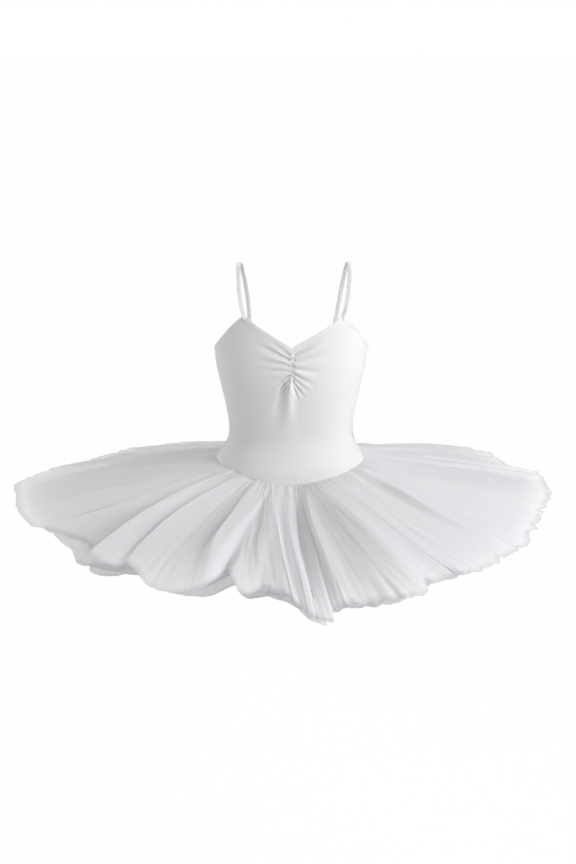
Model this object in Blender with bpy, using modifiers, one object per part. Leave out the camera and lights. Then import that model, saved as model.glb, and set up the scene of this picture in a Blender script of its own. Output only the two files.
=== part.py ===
# Child's ballet leotard, shown as worn: a camisole bodice gathered at the centre front, thin shoulder straps,
# a plain brief and a short stiff skirt of four pleated tulle layers.
# Metres, +Z up, -Y is the front. The origin is midway between the tops of the shoulder straps.
# Heights in the tables are above the hip seam at the sides. Azimuths are in degrees from the centre front,
# positive towards +X, and 180 is the centre back.

import math

import bmesh
import bpy
from mathutils import Vector

STRAP_TOP = 0.307
CLOTH_WALL = 0.0015
TULLE_WALL = 0.0012
SEAM_GAP = 0.0003
SIDE_GAP = 0.09
BOXINESS = 2.2

# The general child's figure that the cloth is cut to, as half sizes of its sections. It stands a little
# askew: the lean moves a section towards +X.
FORM_COLUMNS = ("height", "half_width", "front", "back", "lean")
FORM = (
    (-0.050, 0.1180, 0.0880, 0.0940, 0.0000),
    (-0.025, 0.1175, 0.0880, 0.0920, 0.0000),
    (0.000, 0.1140, 0.0860, 0.0850, 0.0000),
    (0.018, 0.1035, 0.0805, 0.0750, 0.0005),
    (0.034, 0.0960, 0.0765, 0.0695, 0.0010),
    (0.050, 0.0945, 0.0748, 0.0675, 0.0012),
    (0.073, 0.0970, 0.0768, 0.0700, 0.0015),
    (0.099, 0.1020, 0.0806, 0.0750, 0.0015),
    (0.124, 0.1075, 0.0846, 0.0790, 0.0015),
    (0.150, 0.1133, 0.0868, 0.0820, 0.0016),
    (0.175, 0.1160, 0.0860, 0.0830, 0.0020),
    (0.205, 0.1155, 0.0820, 0.0815, 0.0040),
    (0.233, 0.1135, 0.0770, 0.0790, 0.0055),
    (0.260, 0.1110, 0.0720, 0.0760, 0.0060),
)
# Below the lowest section the figure closes in a cap, whose turn runs from 0 at its top to 90 at the crotch.
CAP_TOP = -0.050
CAP_DEPTH = 0.095
CROTCH_TURN = 90.0

# The hip seam dips at the front and the back.
SEAM_DIP_FRONT = 0.020
SEAM_DIP_BACK = 0.012

# Top edge of the leotard: V neck, strap corners, armholes and the low back.
V_POINT = 0.190
NECK_BOW = 0.86
CORNER = 0.233
CORNER_START = 46.4
CORNER_END = 51.8
UNDERARM = 0.179
ARMHOLE_BOW = 0.95
BACK_SCOOP = 0.127
SCOOP_STARTS = 132.0

BINDING_WIDTH = 0.006
BINDING_WALL = 0.0010
BINDING_LIFT = 0.0005
LEG_BINDING_LIFT = 0.0011
BINDING_GAP = 0.12

# Folds that fan out to each side from the gathering line at the centre front.
GATHER_COLUMNS = ("height", "fan_angle", "length", "rise")
GATHERS = (
    (0.1795, 30.0, 0.055, 0.0042),
    (0.1725, 15.0, 0.064, 0.0044),
    (0.1655, -1.0, 0.054, 0.0042),
    (0.1590, -22.0, 0.046, 0.0040),
    (0.1530, -46.0, 0.042, 0.0038),
    (0.1490, -76.0, 0.064, 0.0034),
)
GATHER_NARROW = 0.0018
GATHER_SPREAD = 0.055
GATHER_RAMP = 0.006
GATHER_CLEAR_OF_EDGE = 0.010
GATHER_FADE = 0.004

# Leg openings: half width of the strip left at the crotch, and how fast each edge curves up to the hip.
LEG_STRIP = 0.033
LEG_CUT_FRONT = 1.7
LEG_CUT_BACK = 1.15

# Centreline of the strap at +X, from the front corner over the shoulder to the back.
STRAP_COLUMNS = ("x", "y", "height")
STRAP = (
    (0.0730, -0.0636, 0.2344),
    (0.0782, -0.0612, 0.2520),
    (0.0818, -0.0480, 0.2770),
    (0.0832, -0.0270, 0.2960),
    (0.0832, 0.0000, 0.3058),
    (0.0810, 0.0260, 0.2990),
    (0.0774, 0.0460, 0.2780),
    (0.0732, 0.0595, 0.2500),
    (0.0690, 0.0680, 0.2140),
    (0.0645, 0.0728, 0.1720),
    (0.0597, 0.0712, 0.1280),
)
STRAP_WIDTH = 0.0060
STRAP_WALL = 0.0020

# Rim of the top tulle layer: how far it reaches from the body's axis and how far it hangs below the seam.
RIM_COLUMNS = ("azimuth", "reach", "drop")
RIM = (
    (-172.0, 0.415, 0.074),
    (-155.0, 0.438, 0.076),
    (-138.0, 0.436, 0.070),
    (-118.0, 0.414, 0.062),
    (-101.0, 0.452, 0.062),
    (-88.0, 0.430, 0.058),
    (-70.0, 0.418, 0.054),
    (-55.0, 0.394, 0.058),
    (-45.0, 0.412, 0.060),
    (-37.0, 0.362, 0.060),
    (-29.0, 0.388, 0.064),
    (-22.0, 0.388, 0.066),
    (-16.0, 0.334, 0.066),
    (-9.0, 0.362, 0.066),
    (-2.0, 0.352, 0.067),
    (2.5, 0.382, 0.072),
    (5.8, 0.444, 0.078),
    (8.2, 0.404, 0.071),
    (18.0, 0.408, 0.065),
    (25.5, 0.426, 0.063),
    (29.5, 0.382, 0.062),
    (44.0, 0.402, 0.061),
    (52.0, 0.396, 0.062),
    (60.0, 0.398, 0.070),
    (67.0, 0.394, 0.060),
    (78.0, 0.398, 0.053),
    (88.0, 0.410, 0.052),
    (102.0, 0.422, 0.062),
    (116.0, 0.418, 0.062),
    (130.0, 0.446, 0.066),
    (145.0, 0.410, 0.072),
    (160.0, 0.390, 0.074),
)

# The four layers, top to bottom: where each is sewn on below the seam, how much shorter and lower its rim is
# than the top one's, and how its pleats sway against the others' on the way round.
LAYER_COLUMNS = ("below_seam", "shorter", "lower", "sway", "sway_waves")
LAYERS = (
    (0.0014, 0.000, 0.000, 0.00, 1),
    (0.0095, 0.014, 0.009, 0.05, 3),
    (0.0175, 0.032, 0.018, -0.05, 5),
    (0.0255, 0.054, 0.028, 0.06, 4),
)
SKIRT_CLEARANCE = 0.0008
DROOP_EARLY = 0.75
PLEATS = 48
PLEAT_AT_SEAM = 0.0014
PLEAT_AT_RIM = 0.0085
PLEAT_GROWTH = 0.85
# A pleat across its width, and the rings from seam to rim. The top layer, which shows whole, is the finer.
PLEAT_COLUMNS = ("share", "height")
TOP_PLEAT = ((0.00, 0.92), (0.22, 0.80), (0.50, -0.10), (0.76, -1.00))
UNDER_PLEAT = ((0.08, 1.00), (0.45, 0.05), (0.76, -1.00))
TOP_RINGS = (0.0, 0.10, 0.34, 0.68, 1.0)
UNDER_RINGS = (0.0, 0.36, 1.0)


def smooth_lookup(rows, at, column, period=None):
    """A table's column at a place in its first column, with smooth joins between the rows."""
    places = [row[0] for row in rows]
    values = [row[column] for row in rows]
    if period:
        places = [places[-1] - period] + places + [places[0] + period, places[1] + period]
        values = [values[-1]] + values + [values[0], values[1]]
        at = (at - places[1]) % period + places[1]
    at = min(max(at, places[0]), places[-1])
    last = len(places) - 1
    i = next(k for k in range(last) if at <= places[k + 1] or k == last - 1)

    def slope(k):
        low, high = max(k - 1, 0), min(k + 1, last)
        return (values[high] - values[low]) / (places[high] - places[low])

    span = places[i + 1] - places[i]
    t = (at - places[i]) / span
    rise = values[i + 1] - values[i]
    start = slope(i) * span
    end = slope(i + 1) * span
    return values[i] + t * (start + t * (3 * rise - 2 * start - end + t * (start + end - 2 * rise)))


def spaced(start, end, count, power=1.0):
    """Places from start to end in a number of steps. A power over 1 crowds them at the start."""
    return [start + (end - start) * (i / count) ** power for i in range(count + 1)]


def eased(share):
    return share * share * (3 - 2 * share)


def form_radius(azimuth, height):
    """How far the figure's section reaches from its axis in one direction."""
    angle = math.radians(azimuth)
    half_width = smooth_lookup(FORM, height, 1)
    depth = smooth_lookup(FORM, height, 2 if math.cos(angle) > 0 else 3)
    across = abs(math.sin(angle)) / half_width
    along = abs(math.cos(angle)) / depth
    return (across**BOXINESS + along**BOXINESS) ** (-1 / BOXINESS)


def round_point(azimuth, radius, height):
    angle = math.radians(azimuth)
    lean = smooth_lookup(FORM, height, 4)
    return Vector((radius * math.sin(angle) + lean, -radius * math.cos(angle), height - STRAP_TOP))


def form_point(azimuth, height):
    return round_point(azimuth, form_radius(azimuth, height), height)


def cap_point(azimuth, turn):
    """A point of the figure's underside."""
    top = form_point(azimuth, CAP_TOP)
    depth = FORM[0][2] if top.y < 0 else FORM[0][3]
    angle = math.radians(turn)
    fall = CAP_DEPTH * abs(top.y) / depth * math.sin(angle)
    return Vector((top.x, top.y * math.cos(angle), top.z - fall))


def outward_normal(point_of, azimuth, other, other_step):
    """The normal of a surface given by azimuth and one other value, pointing away from the trunk's middle."""
    around = point_of(azimuth + 0.5, other) - point_of(azimuth - 0.5, other)
    along = point_of(azimuth, other + other_step) - point_of(azimuth, other - other_step)
    normal = around.cross(along).normalized()
    trunk_middle = Vector((0, 0, min(point_of(azimuth, other).z, CAP_TOP - STRAP_TOP)))
    outwards = point_of(azimuth, other) - trunk_middle
    if point_of is cap_point:
        outwards.z -= CAP_DEPTH
    return normal if normal.dot(outwards) >= 0 else -normal


def seam_height(azimuth):
    facing = math.cos(math.radians(azimuth))
    return -(SEAM_DIP_FRONT if facing > 0 else SEAM_DIP_BACK) * facing**2


def top_edge(azimuth):
    """Height of the leotard's top edge."""
    turn = abs((azimuth + 180) % 360 - 180)
    if turn <= CORNER_START:
        across = math.tan(math.radians(turn)) / math.tan(math.radians(CORNER_START))
        return V_POINT + (CORNER - V_POINT) * across**NECK_BOW
    if turn <= CORNER_END:
        return CORNER
    if turn <= 90:
        share = (turn - CORNER_END) / (90 - CORNER_END)
        return CORNER + (UNDERARM - CORNER) * math.sin(share * math.pi / 2) ** ARMHOLE_BOW
    share = min((turn - 90) / (SCOOP_STARTS - 90), 1)
    return UNDERARM + (BACK_SCOOP - UNDERARM) * eased(share)


def fabric(name, colour, roughness):
    material = bpy.data.materials.new(name)
    material.use_nodes = True
    shader = material.node_tree.nodes["Principled BSDF"]
    shader.inputs["Base Color"].default_value = (*colour, 1)
    shader.inputs["Roughness"].default_value = roughness
    material.diffuse_color = (*colour, 1)
    return material


def cloth(name, rows, wall, material, closed=False, flip=False, reliefs=None):
    """A cloth wall: an open grid of points on its inside, thickened by Solidify. Its outside is on the right of
    a row that is followed with the next row above it, or on the left with flip. Reliefs, one for each point,
    raise the outside further over the plain inside."""
    mesh = bpy.data.meshes.new(name)
    shell = bmesh.new()
    grid = [[shell.verts.new(point) for point in row] for row in rows]
    columns = len(rows[0])
    for low, high in zip(grid, grid[1:]):
        for j in range(columns if closed else columns - 1):
            k = (j + 1) % columns
            corners = (low[j], low[k], high[k], high[j])
            shell.faces.new(corners[::-1] if flip else corners)
    bmesh.ops.triangulate(shell, faces=shell.faces[:], quad_method="SHORT_EDGE")
    shell.to_mesh(mesh)
    shell.free()
    mesh.shade_smooth()
    piece = bpy.data.objects.new(name, mesh)
    piece.data.materials.append(material)
    solidify = piece.modifiers.new("cloth wall", "SOLIDIFY")
    solidify.offset = 1
    solidify.thickness = wall
    if reliefs:
        raised = [relief for row in reliefs for relief in row]
        solidify.thickness = wall + max(raised)
        group = piece.vertex_groups.new(name="raised")
        for index, relief in enumerate(raised):
            group.add([index], (wall + relief) / solidify.thickness, "REPLACE")
        solidify.vertex_group = group.name
    garment.objects.link(piece)
    return piece


def gather_relief(azimuth, height):
    """How far the gathered folds raise the front's outside at a point."""
    sideways = form_radius(azimuth, height) * math.radians(abs(azimuth))
    total = 0.0
    for start, fan_angle, length, rise in GATHERS:
        fan = math.radians(fan_angle)
        upwards = height - start
        along = sideways * math.cos(fan) + upwards * math.sin(fan)
        across = upwards * math.cos(fan) - sideways * math.sin(fan)
        if 0 < along < length:
            spread = GATHER_NARROW + GATHER_SPREAD * along
            strength = min(along / GATHER_RAMP, 1) * eased(1 - along / length)
            total += rise * strength * math.exp(-((across / spread) ** 2))
    clear = top_edge(azimuth) - GATHER_CLEAR_OF_EDGE - height
    return total * min(max(clear / GATHER_FADE, 0), 1)


def bodice_heights(azimuth, shares):
    """Heights from just above the hip seam to the top edge."""
    low = seam_height(azimuth) + SEAM_GAP / 2
    high = top_edge(azimuth) - BINDING_LIFT
    return [low + (high - low) * share for share in shares]


def make_bodice_front(material):
    neck_columns, side_columns, lower_rows, gathered_rows = 12, 4, 6, 17
    gathers_start = 0.64
    half = spaced(0, CORNER_START, neck_columns, 1.35)
    half += spaced(CORNER_END, 90 - SIDE_GAP, side_columns)
    azimuths = [-turn for turn in reversed(half[1:])] + half
    shares = spaced(0, gathers_start, lower_rows)[:-1] + spaced(gathers_start, 1, gathered_rows)
    columns = [[(azimuth, height) for height in bodice_heights(azimuth, shares)] for azimuth in azimuths]
    rows = list(zip(*columns))
    points = [[form_point(*place) for place in row] for row in rows]
    reliefs = [[gather_relief(*place) for place in row] for row in rows]
    cloth("bodice_front", points, CLOTH_WALL, material, reliefs=reliefs)


def make_bodice_back(material):
    scoop_columns, centre_columns, row_count = 7, 4, 11
    scoop_ends = SCOOP_STARTS + 4
    half = spaced(90 + SIDE_GAP, scoop_ends, scoop_columns)[:-1] + spaced(scoop_ends, 180, centre_columns)
    azimuths = half + [360 - turn for turn in reversed(half[:-1])]
    shares = spaced(0, 1, row_count)
    columns = [[form_point(azimuth, height) for height in bodice_heights(azimuth, shares)] for azimuth in azimuths]
    cloth("bodice_back", list(zip(*columns)), CLOTH_WALL, material)


def leg_azimuth(turn, back):
    """Where the leg opening's edge lies at a turn round the underside, in degrees from the centre line."""
    narrow = math.degrees(math.atan2(LEG_STRIP, FORM[0][3 if back else 2]))
    cut = LEG_CUT_BACK if back else LEG_CUT_FRONT
    return narrow + (90 - narrow) * (1 - turn / CROTCH_TURN) ** cut


def make_brief_half(name, back, material):
    column_count, side_rows, cap_rows = 20, 2, 9
    crotch_gap = 0.1
    shares = spaced(-1, 1, column_count)
    rows = []
    for drop in spaced(0, 1, side_rows):
        row = []
        for share in shares:
            azimuth = share * (90 - SIDE_GAP)
            facing = 180 - azimuth if back else azimuth
            high = seam_height(facing) - SEAM_GAP / 2
            row.append(form_point(facing, high + (CAP_TOP - high) * drop))
        rows.append(row)
    for turn in spaced(0, CROTCH_TURN - crotch_gap, cap_rows)[1:]:
        reach = min(leg_azimuth(turn, back), 90 - SIDE_GAP)
        rows.append([cap_point(180 - share * reach if back else share * reach, turn) for share in shares])
    cloth(name, rows, CLOTH_WALL, material, flip=not back)


def make_leg_binding(name, side, material):
    station_count = 14
    turns = spaced(0, CROTCH_TURN, station_count, 0.9)
    path = [(leg_azimuth(turn, False), turn) for turn in turns]
    path += [(180 - leg_azimuth(turn, True), turn) for turn in reversed(turns[1:-1])]
    edge, normals = [], []
    for azimuth, turn in path:
        if turn:
            normal = outward_normal(cap_point, azimuth * side, turn, 0.5)
        else:
            normal = outward_normal(form_point, azimuth * side, CAP_TOP, 0.001)
        normals.append(normal)
        edge.append(cap_point(azimuth * side, turn) + normal * (CLOTH_WALL + LEG_BINDING_LIFT))
    inner = []
    for i, point in enumerate(edge):
        tangent = (edge[(i + 1) % len(edge)] - edge[i - 1]).normalized()
        inner.append(point + normals[i].cross(tangent) * side * BINDING_WIDTH)
    cloth(name, (edge, inner), BINDING_WALL, material, closed=True, flip=side < 0)


def make_edge_binding(name, azimuths, material, flip=False):
    """A flat binding on the outside of the cloth, along a stretch of the top edge and just below it."""
    step = 0.6
    edge, lower = [], []
    for azimuth in azimuths:
        height = top_edge(azimuth)
        normal = outward_normal(form_point, azimuth, height, 0.001)
        point = form_point(azimuth, height) + normal * (CLOTH_WALL + BINDING_LIFT)
        down = (form_point(azimuth, height - 0.002) - form_point(azimuth, height + 0.002)).normalized()
        rise = top_edge(azimuth + step) - top_edge(azimuth - step)
        run = form_radius(azimuth, height) * math.radians(2 * step)
        edge.append(point)
        lower.append(point + down * BINDING_WIDTH * math.hypot(1, rise / run))
    cloth(name, (lower, edge), BINDING_WALL, material, flip=flip)


def make_edge_bindings(material):
    neck_steps, armhole_steps, back_steps = 8, 12, 6
    corner_middle = (CORNER_START + CORNER_END) / 2
    half = spaced(0, CORNER_START, neck_steps) + [corner_middle - BINDING_GAP]
    make_edge_binding("neck_binding", [-turn for turn in reversed(half[1:])] + half, material)
    arm = [corner_middle + BINDING_GAP] + spaced(CORNER_END, SCOOP_STARTS, armhole_steps)
    arm += spaced(SCOOP_STARTS, 180 - BINDING_GAP / 2, back_steps)[1:]
    make_edge_binding("armhole_binding_left", arm, material)
    make_edge_binding("armhole_binding_right", [-turn for turn in arm], material, flip=True)


def make_strap(name, side, material):
    station_count = 30
    knots = [(i, *row) for i, row in enumerate(STRAP)]
    line = []
    for place in spaced(0, len(STRAP) - 1, station_count):
        x, y, height = (smooth_lookup(knots, place, column) for column in (1, 2, 3))
        lean = smooth_lookup(FORM, height, 4)
        line.append(Vector((x * side + lean, y, height - STRAP_TOP)))
    left_edge, right_edge = [], []
    for i, point in enumerate(line):
        tangent = (line[min(i + 1, station_count)] - line[max(i - 1, 0)]).normalized()
        upwards = point - Vector((point.x, 0, V_POINT - STRAP_TOP))
        across = tangent.cross(upwards).normalized()
        inside = point - across.cross(tangent) * STRAP_WALL / 2
        left_edge.append(inside - across * STRAP_WIDTH / 2)
        right_edge.append(inside + across * STRAP_WIDTH / 2)
    cloth(name, (right_edge, left_edge), STRAP_WALL, material)


def pleat_azimuth(pleat, sway, waves):
    """Where a pleat lies. Pleats are unevenly wide, and a layer's pleats sway against the next layer's."""
    even = 360 * pleat / PLEATS
    turn = math.radians(even)
    uneven = 1.5 * math.sin(5 * turn + 0.8) + 1.0 * math.sin(8 * turn + 2.1)
    return even + uneven + sway * 360 / PLEATS * math.sin(waves * turn)


def pleat_size(pleat):
    turn = math.radians(360 * pleat / PLEATS)
    return 1 + 0.22 * math.sin(4 * turn + 0.6) + 0.14 * math.sin(11 * turn + 2.0)


def skirt_point(azimuth, along, pleat_height, below_seam, shorter, lower):
    """A point of a tulle layer: along is 0 where it is sewn on and 1 at its rim."""
    sewn_height = seam_height(azimuth) - below_seam
    sewn_radius = form_radius(azimuth, sewn_height) + CLOTH_WALL + SKIRT_CLEARANCE
    reach = smooth_lookup(RIM, azimuth, 1, 360) - shorter
    drop = smooth_lookup(RIM, azimuth, 2, 360) + lower - below_seam
    radius = sewn_radius + (reach - sewn_radius) * along
    fall = drop * (DROOP_EARLY * along + (1 - DROOP_EARLY) * along**2)
    wave = PLEAT_AT_SEAM + (PLEAT_AT_RIM - PLEAT_AT_SEAM) * along**PLEAT_GROWTH
    return round_point(azimuth, radius, sewn_height - fall + pleat_height * wave)


def make_skirt_layer(number, layer, pleat_shape, rings, material):
    below_seam, shorter, lower, sway, waves = layer
    rows = []
    for along in rings:
        row = []
        for pleat in range(PLEATS):
            for share, height in pleat_shape:
                azimuth = pleat_azimuth(pleat + share, sway, waves)
                lift = height * pleat_size(pleat + share)
                row.append(skirt_point(azimuth, along, lift, below_seam, shorter, lower))
        rows.append(row)
    cloth(f"skirt_layer_{number}", rows, TULLE_WALL, material, closed=True)


for old in list(bpy.data.objects):
    bpy.data.objects.remove(old)
garment = bpy.data.collections.new("skirted_leotard")
bpy.context.scene.collection.children.link(garment)

stretch_white = fabric("stretch jersey", (0.90, 0.89, 0.88), 0.70)
binding_white = fabric("binding", (0.88, 0.87, 0.86), 0.60)
tulle_white = fabric("tulle", (0.90, 0.91, 0.94), 0.80)

make_bodice_front(stretch_white)
make_bodice_back(stretch_white)
make_brief_half("brief_front", False, stretch_white)
make_brief_half("brief_back", True, stretch_white)
make_leg_binding("leg_binding_left", 1, binding_white)
make_leg_binding("leg_binding_right", -1, binding_white)
make_edge_bindings(binding_white)
make_strap("strap_left", 1, binding_white)
make_strap("strap_right", -1, binding_white)
make_skirt_layer(1, LAYERS[0], TOP_PLEAT, TOP_RINGS, tulle_white)
for number, layer in enumerate(LAYERS[1:], start=2):
    make_skirt_layer(number, layer, UNDER_PLEAT, UNDER_RINGS, tulle_white)
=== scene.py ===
import math

import bmesh
import bpy
import numpy as np
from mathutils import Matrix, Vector


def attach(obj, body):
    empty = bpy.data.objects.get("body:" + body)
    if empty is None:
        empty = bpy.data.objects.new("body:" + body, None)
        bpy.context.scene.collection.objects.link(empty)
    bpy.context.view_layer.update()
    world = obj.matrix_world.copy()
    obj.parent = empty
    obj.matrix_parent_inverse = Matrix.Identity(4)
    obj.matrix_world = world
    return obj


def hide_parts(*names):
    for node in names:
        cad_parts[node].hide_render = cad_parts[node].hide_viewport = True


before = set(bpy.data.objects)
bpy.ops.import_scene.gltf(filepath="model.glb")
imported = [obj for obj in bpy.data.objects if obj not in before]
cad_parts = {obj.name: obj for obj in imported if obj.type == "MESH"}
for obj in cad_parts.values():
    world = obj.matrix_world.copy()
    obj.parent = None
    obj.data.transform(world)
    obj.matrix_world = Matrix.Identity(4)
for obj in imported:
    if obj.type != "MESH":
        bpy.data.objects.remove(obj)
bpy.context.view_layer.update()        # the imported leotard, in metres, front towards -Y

scene = bpy.context.scene
print("frame loaded")

# The figure that the leotard is worn on. Each row: height over the hip seam, half width, depth to the front
# and to the back, and how far the middle leans sideways.
figure = {
    "strapTop": 0.307,
    "boxiness": 2.2,
    "rows": [
        (-0.050, 0.1180, 0.0880, 0.0940, 0.0000),
        (-0.025, 0.1175, 0.0880, 0.0920, 0.0000),
        (0.000, 0.1140, 0.0860, 0.0850, 0.0000),
        (0.018, 0.1035, 0.0805, 0.0750, 0.0005),
        (0.034, 0.0960, 0.0765, 0.0695, 0.0010),
        (0.050, 0.0945, 0.0748, 0.0675, 0.0012),
        (0.073, 0.0970, 0.0768, 0.0700, 0.0015),
        (0.099, 0.1020, 0.0806, 0.0750, 0.0015),
        (0.124, 0.1075, 0.0846, 0.0790, 0.0015),
        (0.150, 0.1133, 0.0868, 0.0820, 0.0016),
        (0.175, 0.1160, 0.0860, 0.0830, 0.0020),
        (0.205, 0.1155, 0.0820, 0.0815, 0.0040),
        (0.233, 0.1135, 0.0770, 0.0790, 0.0055),
        (0.260, 0.1110, 0.0720, 0.0760, 0.0060),
    ],
    "capTop": -0.050,
    "capDepth": 0.095,
    "seamDipFront": 0.020,
    "seamDipBack": 0.012,
}

edges = {
    "vPoint": 0.190,
    "neckBow": 0.86,
    "corner": 0.233,
    "cornerStart": 46.4,
    "cornerEnd": 51.8,
    "underarm": 0.179,
    "armholeBow": 1.25,
    "backScoop": 0.127,
    "scoopStarts": 132.0,
    "legStrip": 0.033,
    "legCutFront": 1.7,
    "legCutBack": 1.15,
    "crotchTurn": 90.0,
}


def eased(share):
    share = np.clip(share, 0, 1)
    return share * share * (3 - 2 * share)


def tableValue(rows, at, column, period=None):
    # a column of a table at any place in its first column, with smooth joins between the rows
    places = np.array([row[0] for row in rows], float)
    values = np.array([row[column] for row in rows], float)
    at = np.asarray(at, float)
    if period:
        places = np.concatenate(([places[-1] - period], places, places[:2] + period))
        values = np.concatenate(([values[-1]], values, values[:2]))
        at = (at - places[1]) % period + places[1]
    at = np.clip(at, places[0], places[-1])
    slopes = np.empty_like(values)
    slopes[1:-1] = (values[2:] - values[:-2]) / (places[2:] - places[:-2])
    slopes[0] = (values[1] - values[0]) / (places[1] - places[0])
    slopes[-1] = (values[-1] - values[-2]) / (places[-1] - places[-2])
    index = np.clip(np.searchsorted(places, at, side="right") - 1, 0, len(places) - 2)
    span = places[index + 1] - places[index]
    t = (at - places[index]) / span
    rise = values[index + 1] - values[index]
    start = slopes[index] * span
    end = slopes[index + 1] * span
    return values[index] + t * (start + t * (3 * rise - 2 * start - end + t * (start + end - 2 * rise)))


def formRadius(azimuth, height):
    angle = np.radians(azimuth)
    halfWidth = tableValue(figure["rows"], height, 1)
    depth = np.where(np.cos(angle) > 0, tableValue(figure["rows"], height, 2), tableValue(figure["rows"], height, 3))
    power = figure["boxiness"]
    return (np.abs(np.sin(angle) / halfWidth) ** power + np.abs(np.cos(angle) / depth) ** power) ** (-1 / power)


def roundPoint(azimuth, radius, height):
    angle = np.radians(azimuth)
    azimuth, radius, height = np.broadcast_arrays(azimuth, radius, height)
    lean = tableValue(figure["rows"], height, 4)
    return np.stack((radius * np.sin(angle) + lean, -radius * np.cos(angle), height - figure["strapTop"]), axis=-1)


def formPoint(azimuth, height, out=0.0):
    # a point on the figure, or that far outside it
    return roundPoint(azimuth, formRadius(azimuth, height) + out, height)


def capPoint(azimuth, turn, out=0.0):
    # a point of the figure's underside, turned down from the hips
    top = formPoint(azimuth, figure["capTop"], 0.0)
    depth = np.where(top[..., 1] < 0, figure["rows"][0][2], figure["rows"][0][3])
    angle = np.radians(turn)
    fall = (figure["capDepth"] + out) * np.abs(top[..., 1]) / depth * np.sin(angle)
    grow = 1 + out / np.maximum(np.hypot(top[..., 0], top[..., 1]), 0.02)
    return np.stack((top[..., 0] * grow, top[..., 1] * grow * np.cos(angle), top[..., 2] - fall), axis=-1)


def seamHeight(azimuth):
    facing = np.cos(np.radians(azimuth))
    return -np.where(facing > 0, figure["seamDipFront"], figure["seamDipBack"]) * facing ** 2


def topEdge(azimuth):
    turn = np.abs((np.asarray(azimuth, float) + 180) % 360 - 180)
    across = np.tan(np.radians(np.minimum(turn, 80))) / math.tan(math.radians(edges["cornerStart"]))
    neck = edges["vPoint"] + (edges["corner"] - edges["vPoint"]) * across ** edges["neckBow"]
    arm = np.clip((turn - edges["cornerEnd"]) / (90 - edges["cornerEnd"]), 0, 1)
    armhole = edges["corner"] + (edges["underarm"] - edges["corner"]) * np.sin(arm * math.pi / 2) ** edges["armholeBow"]
    back = eased((turn - 90) / (edges["scoopStarts"] - 90))
    behind = edges["underarm"] + (edges["backScoop"] - edges["underarm"]) * back
    height = np.where(turn <= edges["cornerStart"], neck, edges["corner"])
    height = np.where(turn > edges["cornerEnd"], armhole, height)
    return np.where(turn > 90, behind, height)


def legAzimuth(turn, back):
    depth = figure["rows"][0][3 if back else 2]
    narrow = math.degrees(math.atan2(edges["legStrip"], depth))
    cut = edges["legCutBack"] if back else edges["legCutFront"]
    return narrow + (90 - narrow) * (1 - np.asarray(turn, float) / edges["crotchTurn"]) ** cut


# Meshes from grids of points

def gridPiece(name, points, clothPlace, closed=False, flip=False, values=None):
    # clothPlace gives the place on the flat cloth in metres, with one column more than the points when closed
    rows, columns = points.shape[:2]
    index = np.arange(rows * columns).reshape(rows, columns)
    left = index if closed else index[:, :-1]
    right = np.roll(index, -1, axis=1) if closed else index[:, 1:]
    corners = np.stack((left[:-1], right[:-1], right[1:], left[1:]), axis=-1).reshape(-1, 4)
    places = np.stack((clothPlace[:-1, :-1], clothPlace[:-1, 1:], clothPlace[1:, 1:], clothPlace[1:, :-1]), axis=2)
    places = places.reshape(-1, 4, 2)
    if flip:
        corners = corners[:, ::-1]
        places = places[:, ::-1]
    mesh = bpy.data.meshes.new(name)
    mesh.from_pydata(points.reshape(-1, 3).tolist(), [], corners.tolist())
    layer = mesh.uv_layers.new(name="cloth")
    layer.data.foreach_set("uv", np.ascontiguousarray(places).reshape(-1))
    for key, field in (values or {}).items():
        attribute = mesh.attributes.new(key, "FLOAT", "POINT")
        attribute.data.foreach_set("value", np.ascontiguousarray(field, dtype=np.float32).reshape(-1))
    mesh.shade_smooth()
    piece = bpy.data.objects.new(name, mesh)
    scene.collection.objects.link(piece)
    return piece


def clothPlaces(points, closed=False):
    # distances along the rows and columns of a grid, for patterns that follow the cloth
    grid = np.concatenate((points, points[:, :1]), axis=1) if closed else points
    across = np.linalg.norm(np.diff(grid, axis=1), axis=2)
    around = np.concatenate((np.zeros((len(grid), 1)), np.cumsum(across, axis=1)), axis=1)
    around -= around[:, around.shape[1] // 2][:, None]
    upward = np.linalg.norm(np.diff(grid, axis=0), axis=2)
    along = np.concatenate((np.zeros((1, grid.shape[1])), np.cumsum(upward, axis=0)), axis=0)
    return np.stack((around, along), axis=-1)


def applied(piece):
    # the piece with its modifiers made real, as a plain mesh
    bpy.context.view_layer.update()
    graph = bpy.context.evaluated_depsgraph_get()
    mesh = bpy.data.meshes.new_from_object(piece.evaluated_get(graph), preserve_all_data_layers=True, depsgraph=graph)
    piece.modifiers.clear()
    old = piece.data
    piece.data = mesh
    mesh.name = piece.name
    if old.users == 0:
        bpy.data.meshes.remove(old)
    return piece


def thickened(piece, wall, offset):
    shell = piece.modifiers.new("wall", "SOLIDIFY")
    shell.thickness = wall
    shell.offset = offset
    shell.use_even_offset = True
    return applied(piece)


def sweptPiece(name, centres, across, outward, section, closed=False, wide=None):
    # a section, given as (across, outward) places in metres, carried along a line of points
    section = np.array(section)
    scale = np.ones(len(centres)) if wide is None else np.asarray(wide)
    sweep = centres[:, None] + across[:, None] * (section[None, :, :1] * scale[:, None, None])
    sweep = sweep + outward[:, None] * section[None, :, 1:]
    if not closed:
        first = np.repeat(sweep[:1].mean(axis=1, keepdims=True), len(section), axis=1)
        last = np.repeat(sweep[-1:].mean(axis=1, keepdims=True), len(section), axis=1)
        sweep = np.concatenate((first, sweep, last), axis=0)
    else:
        sweep = np.concatenate((sweep, sweep[:1]), axis=0)
    places = clothPlaces(sweep, closed=True)
    piece = gridPiece(name, sweep, places, closed=True)
    tidy = bmesh.new()
    tidy.from_mesh(piece.data)
    bmesh.ops.remove_doubles(tidy, verts=tidy.verts[:], dist=1e-6)
    bmesh.ops.recalc_face_normals(tidy, faces=tidy.faces[:])
    tidy.to_mesh(piece.data)
    tidy.free()
    piece.data.shade_smooth()
    return piece


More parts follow.
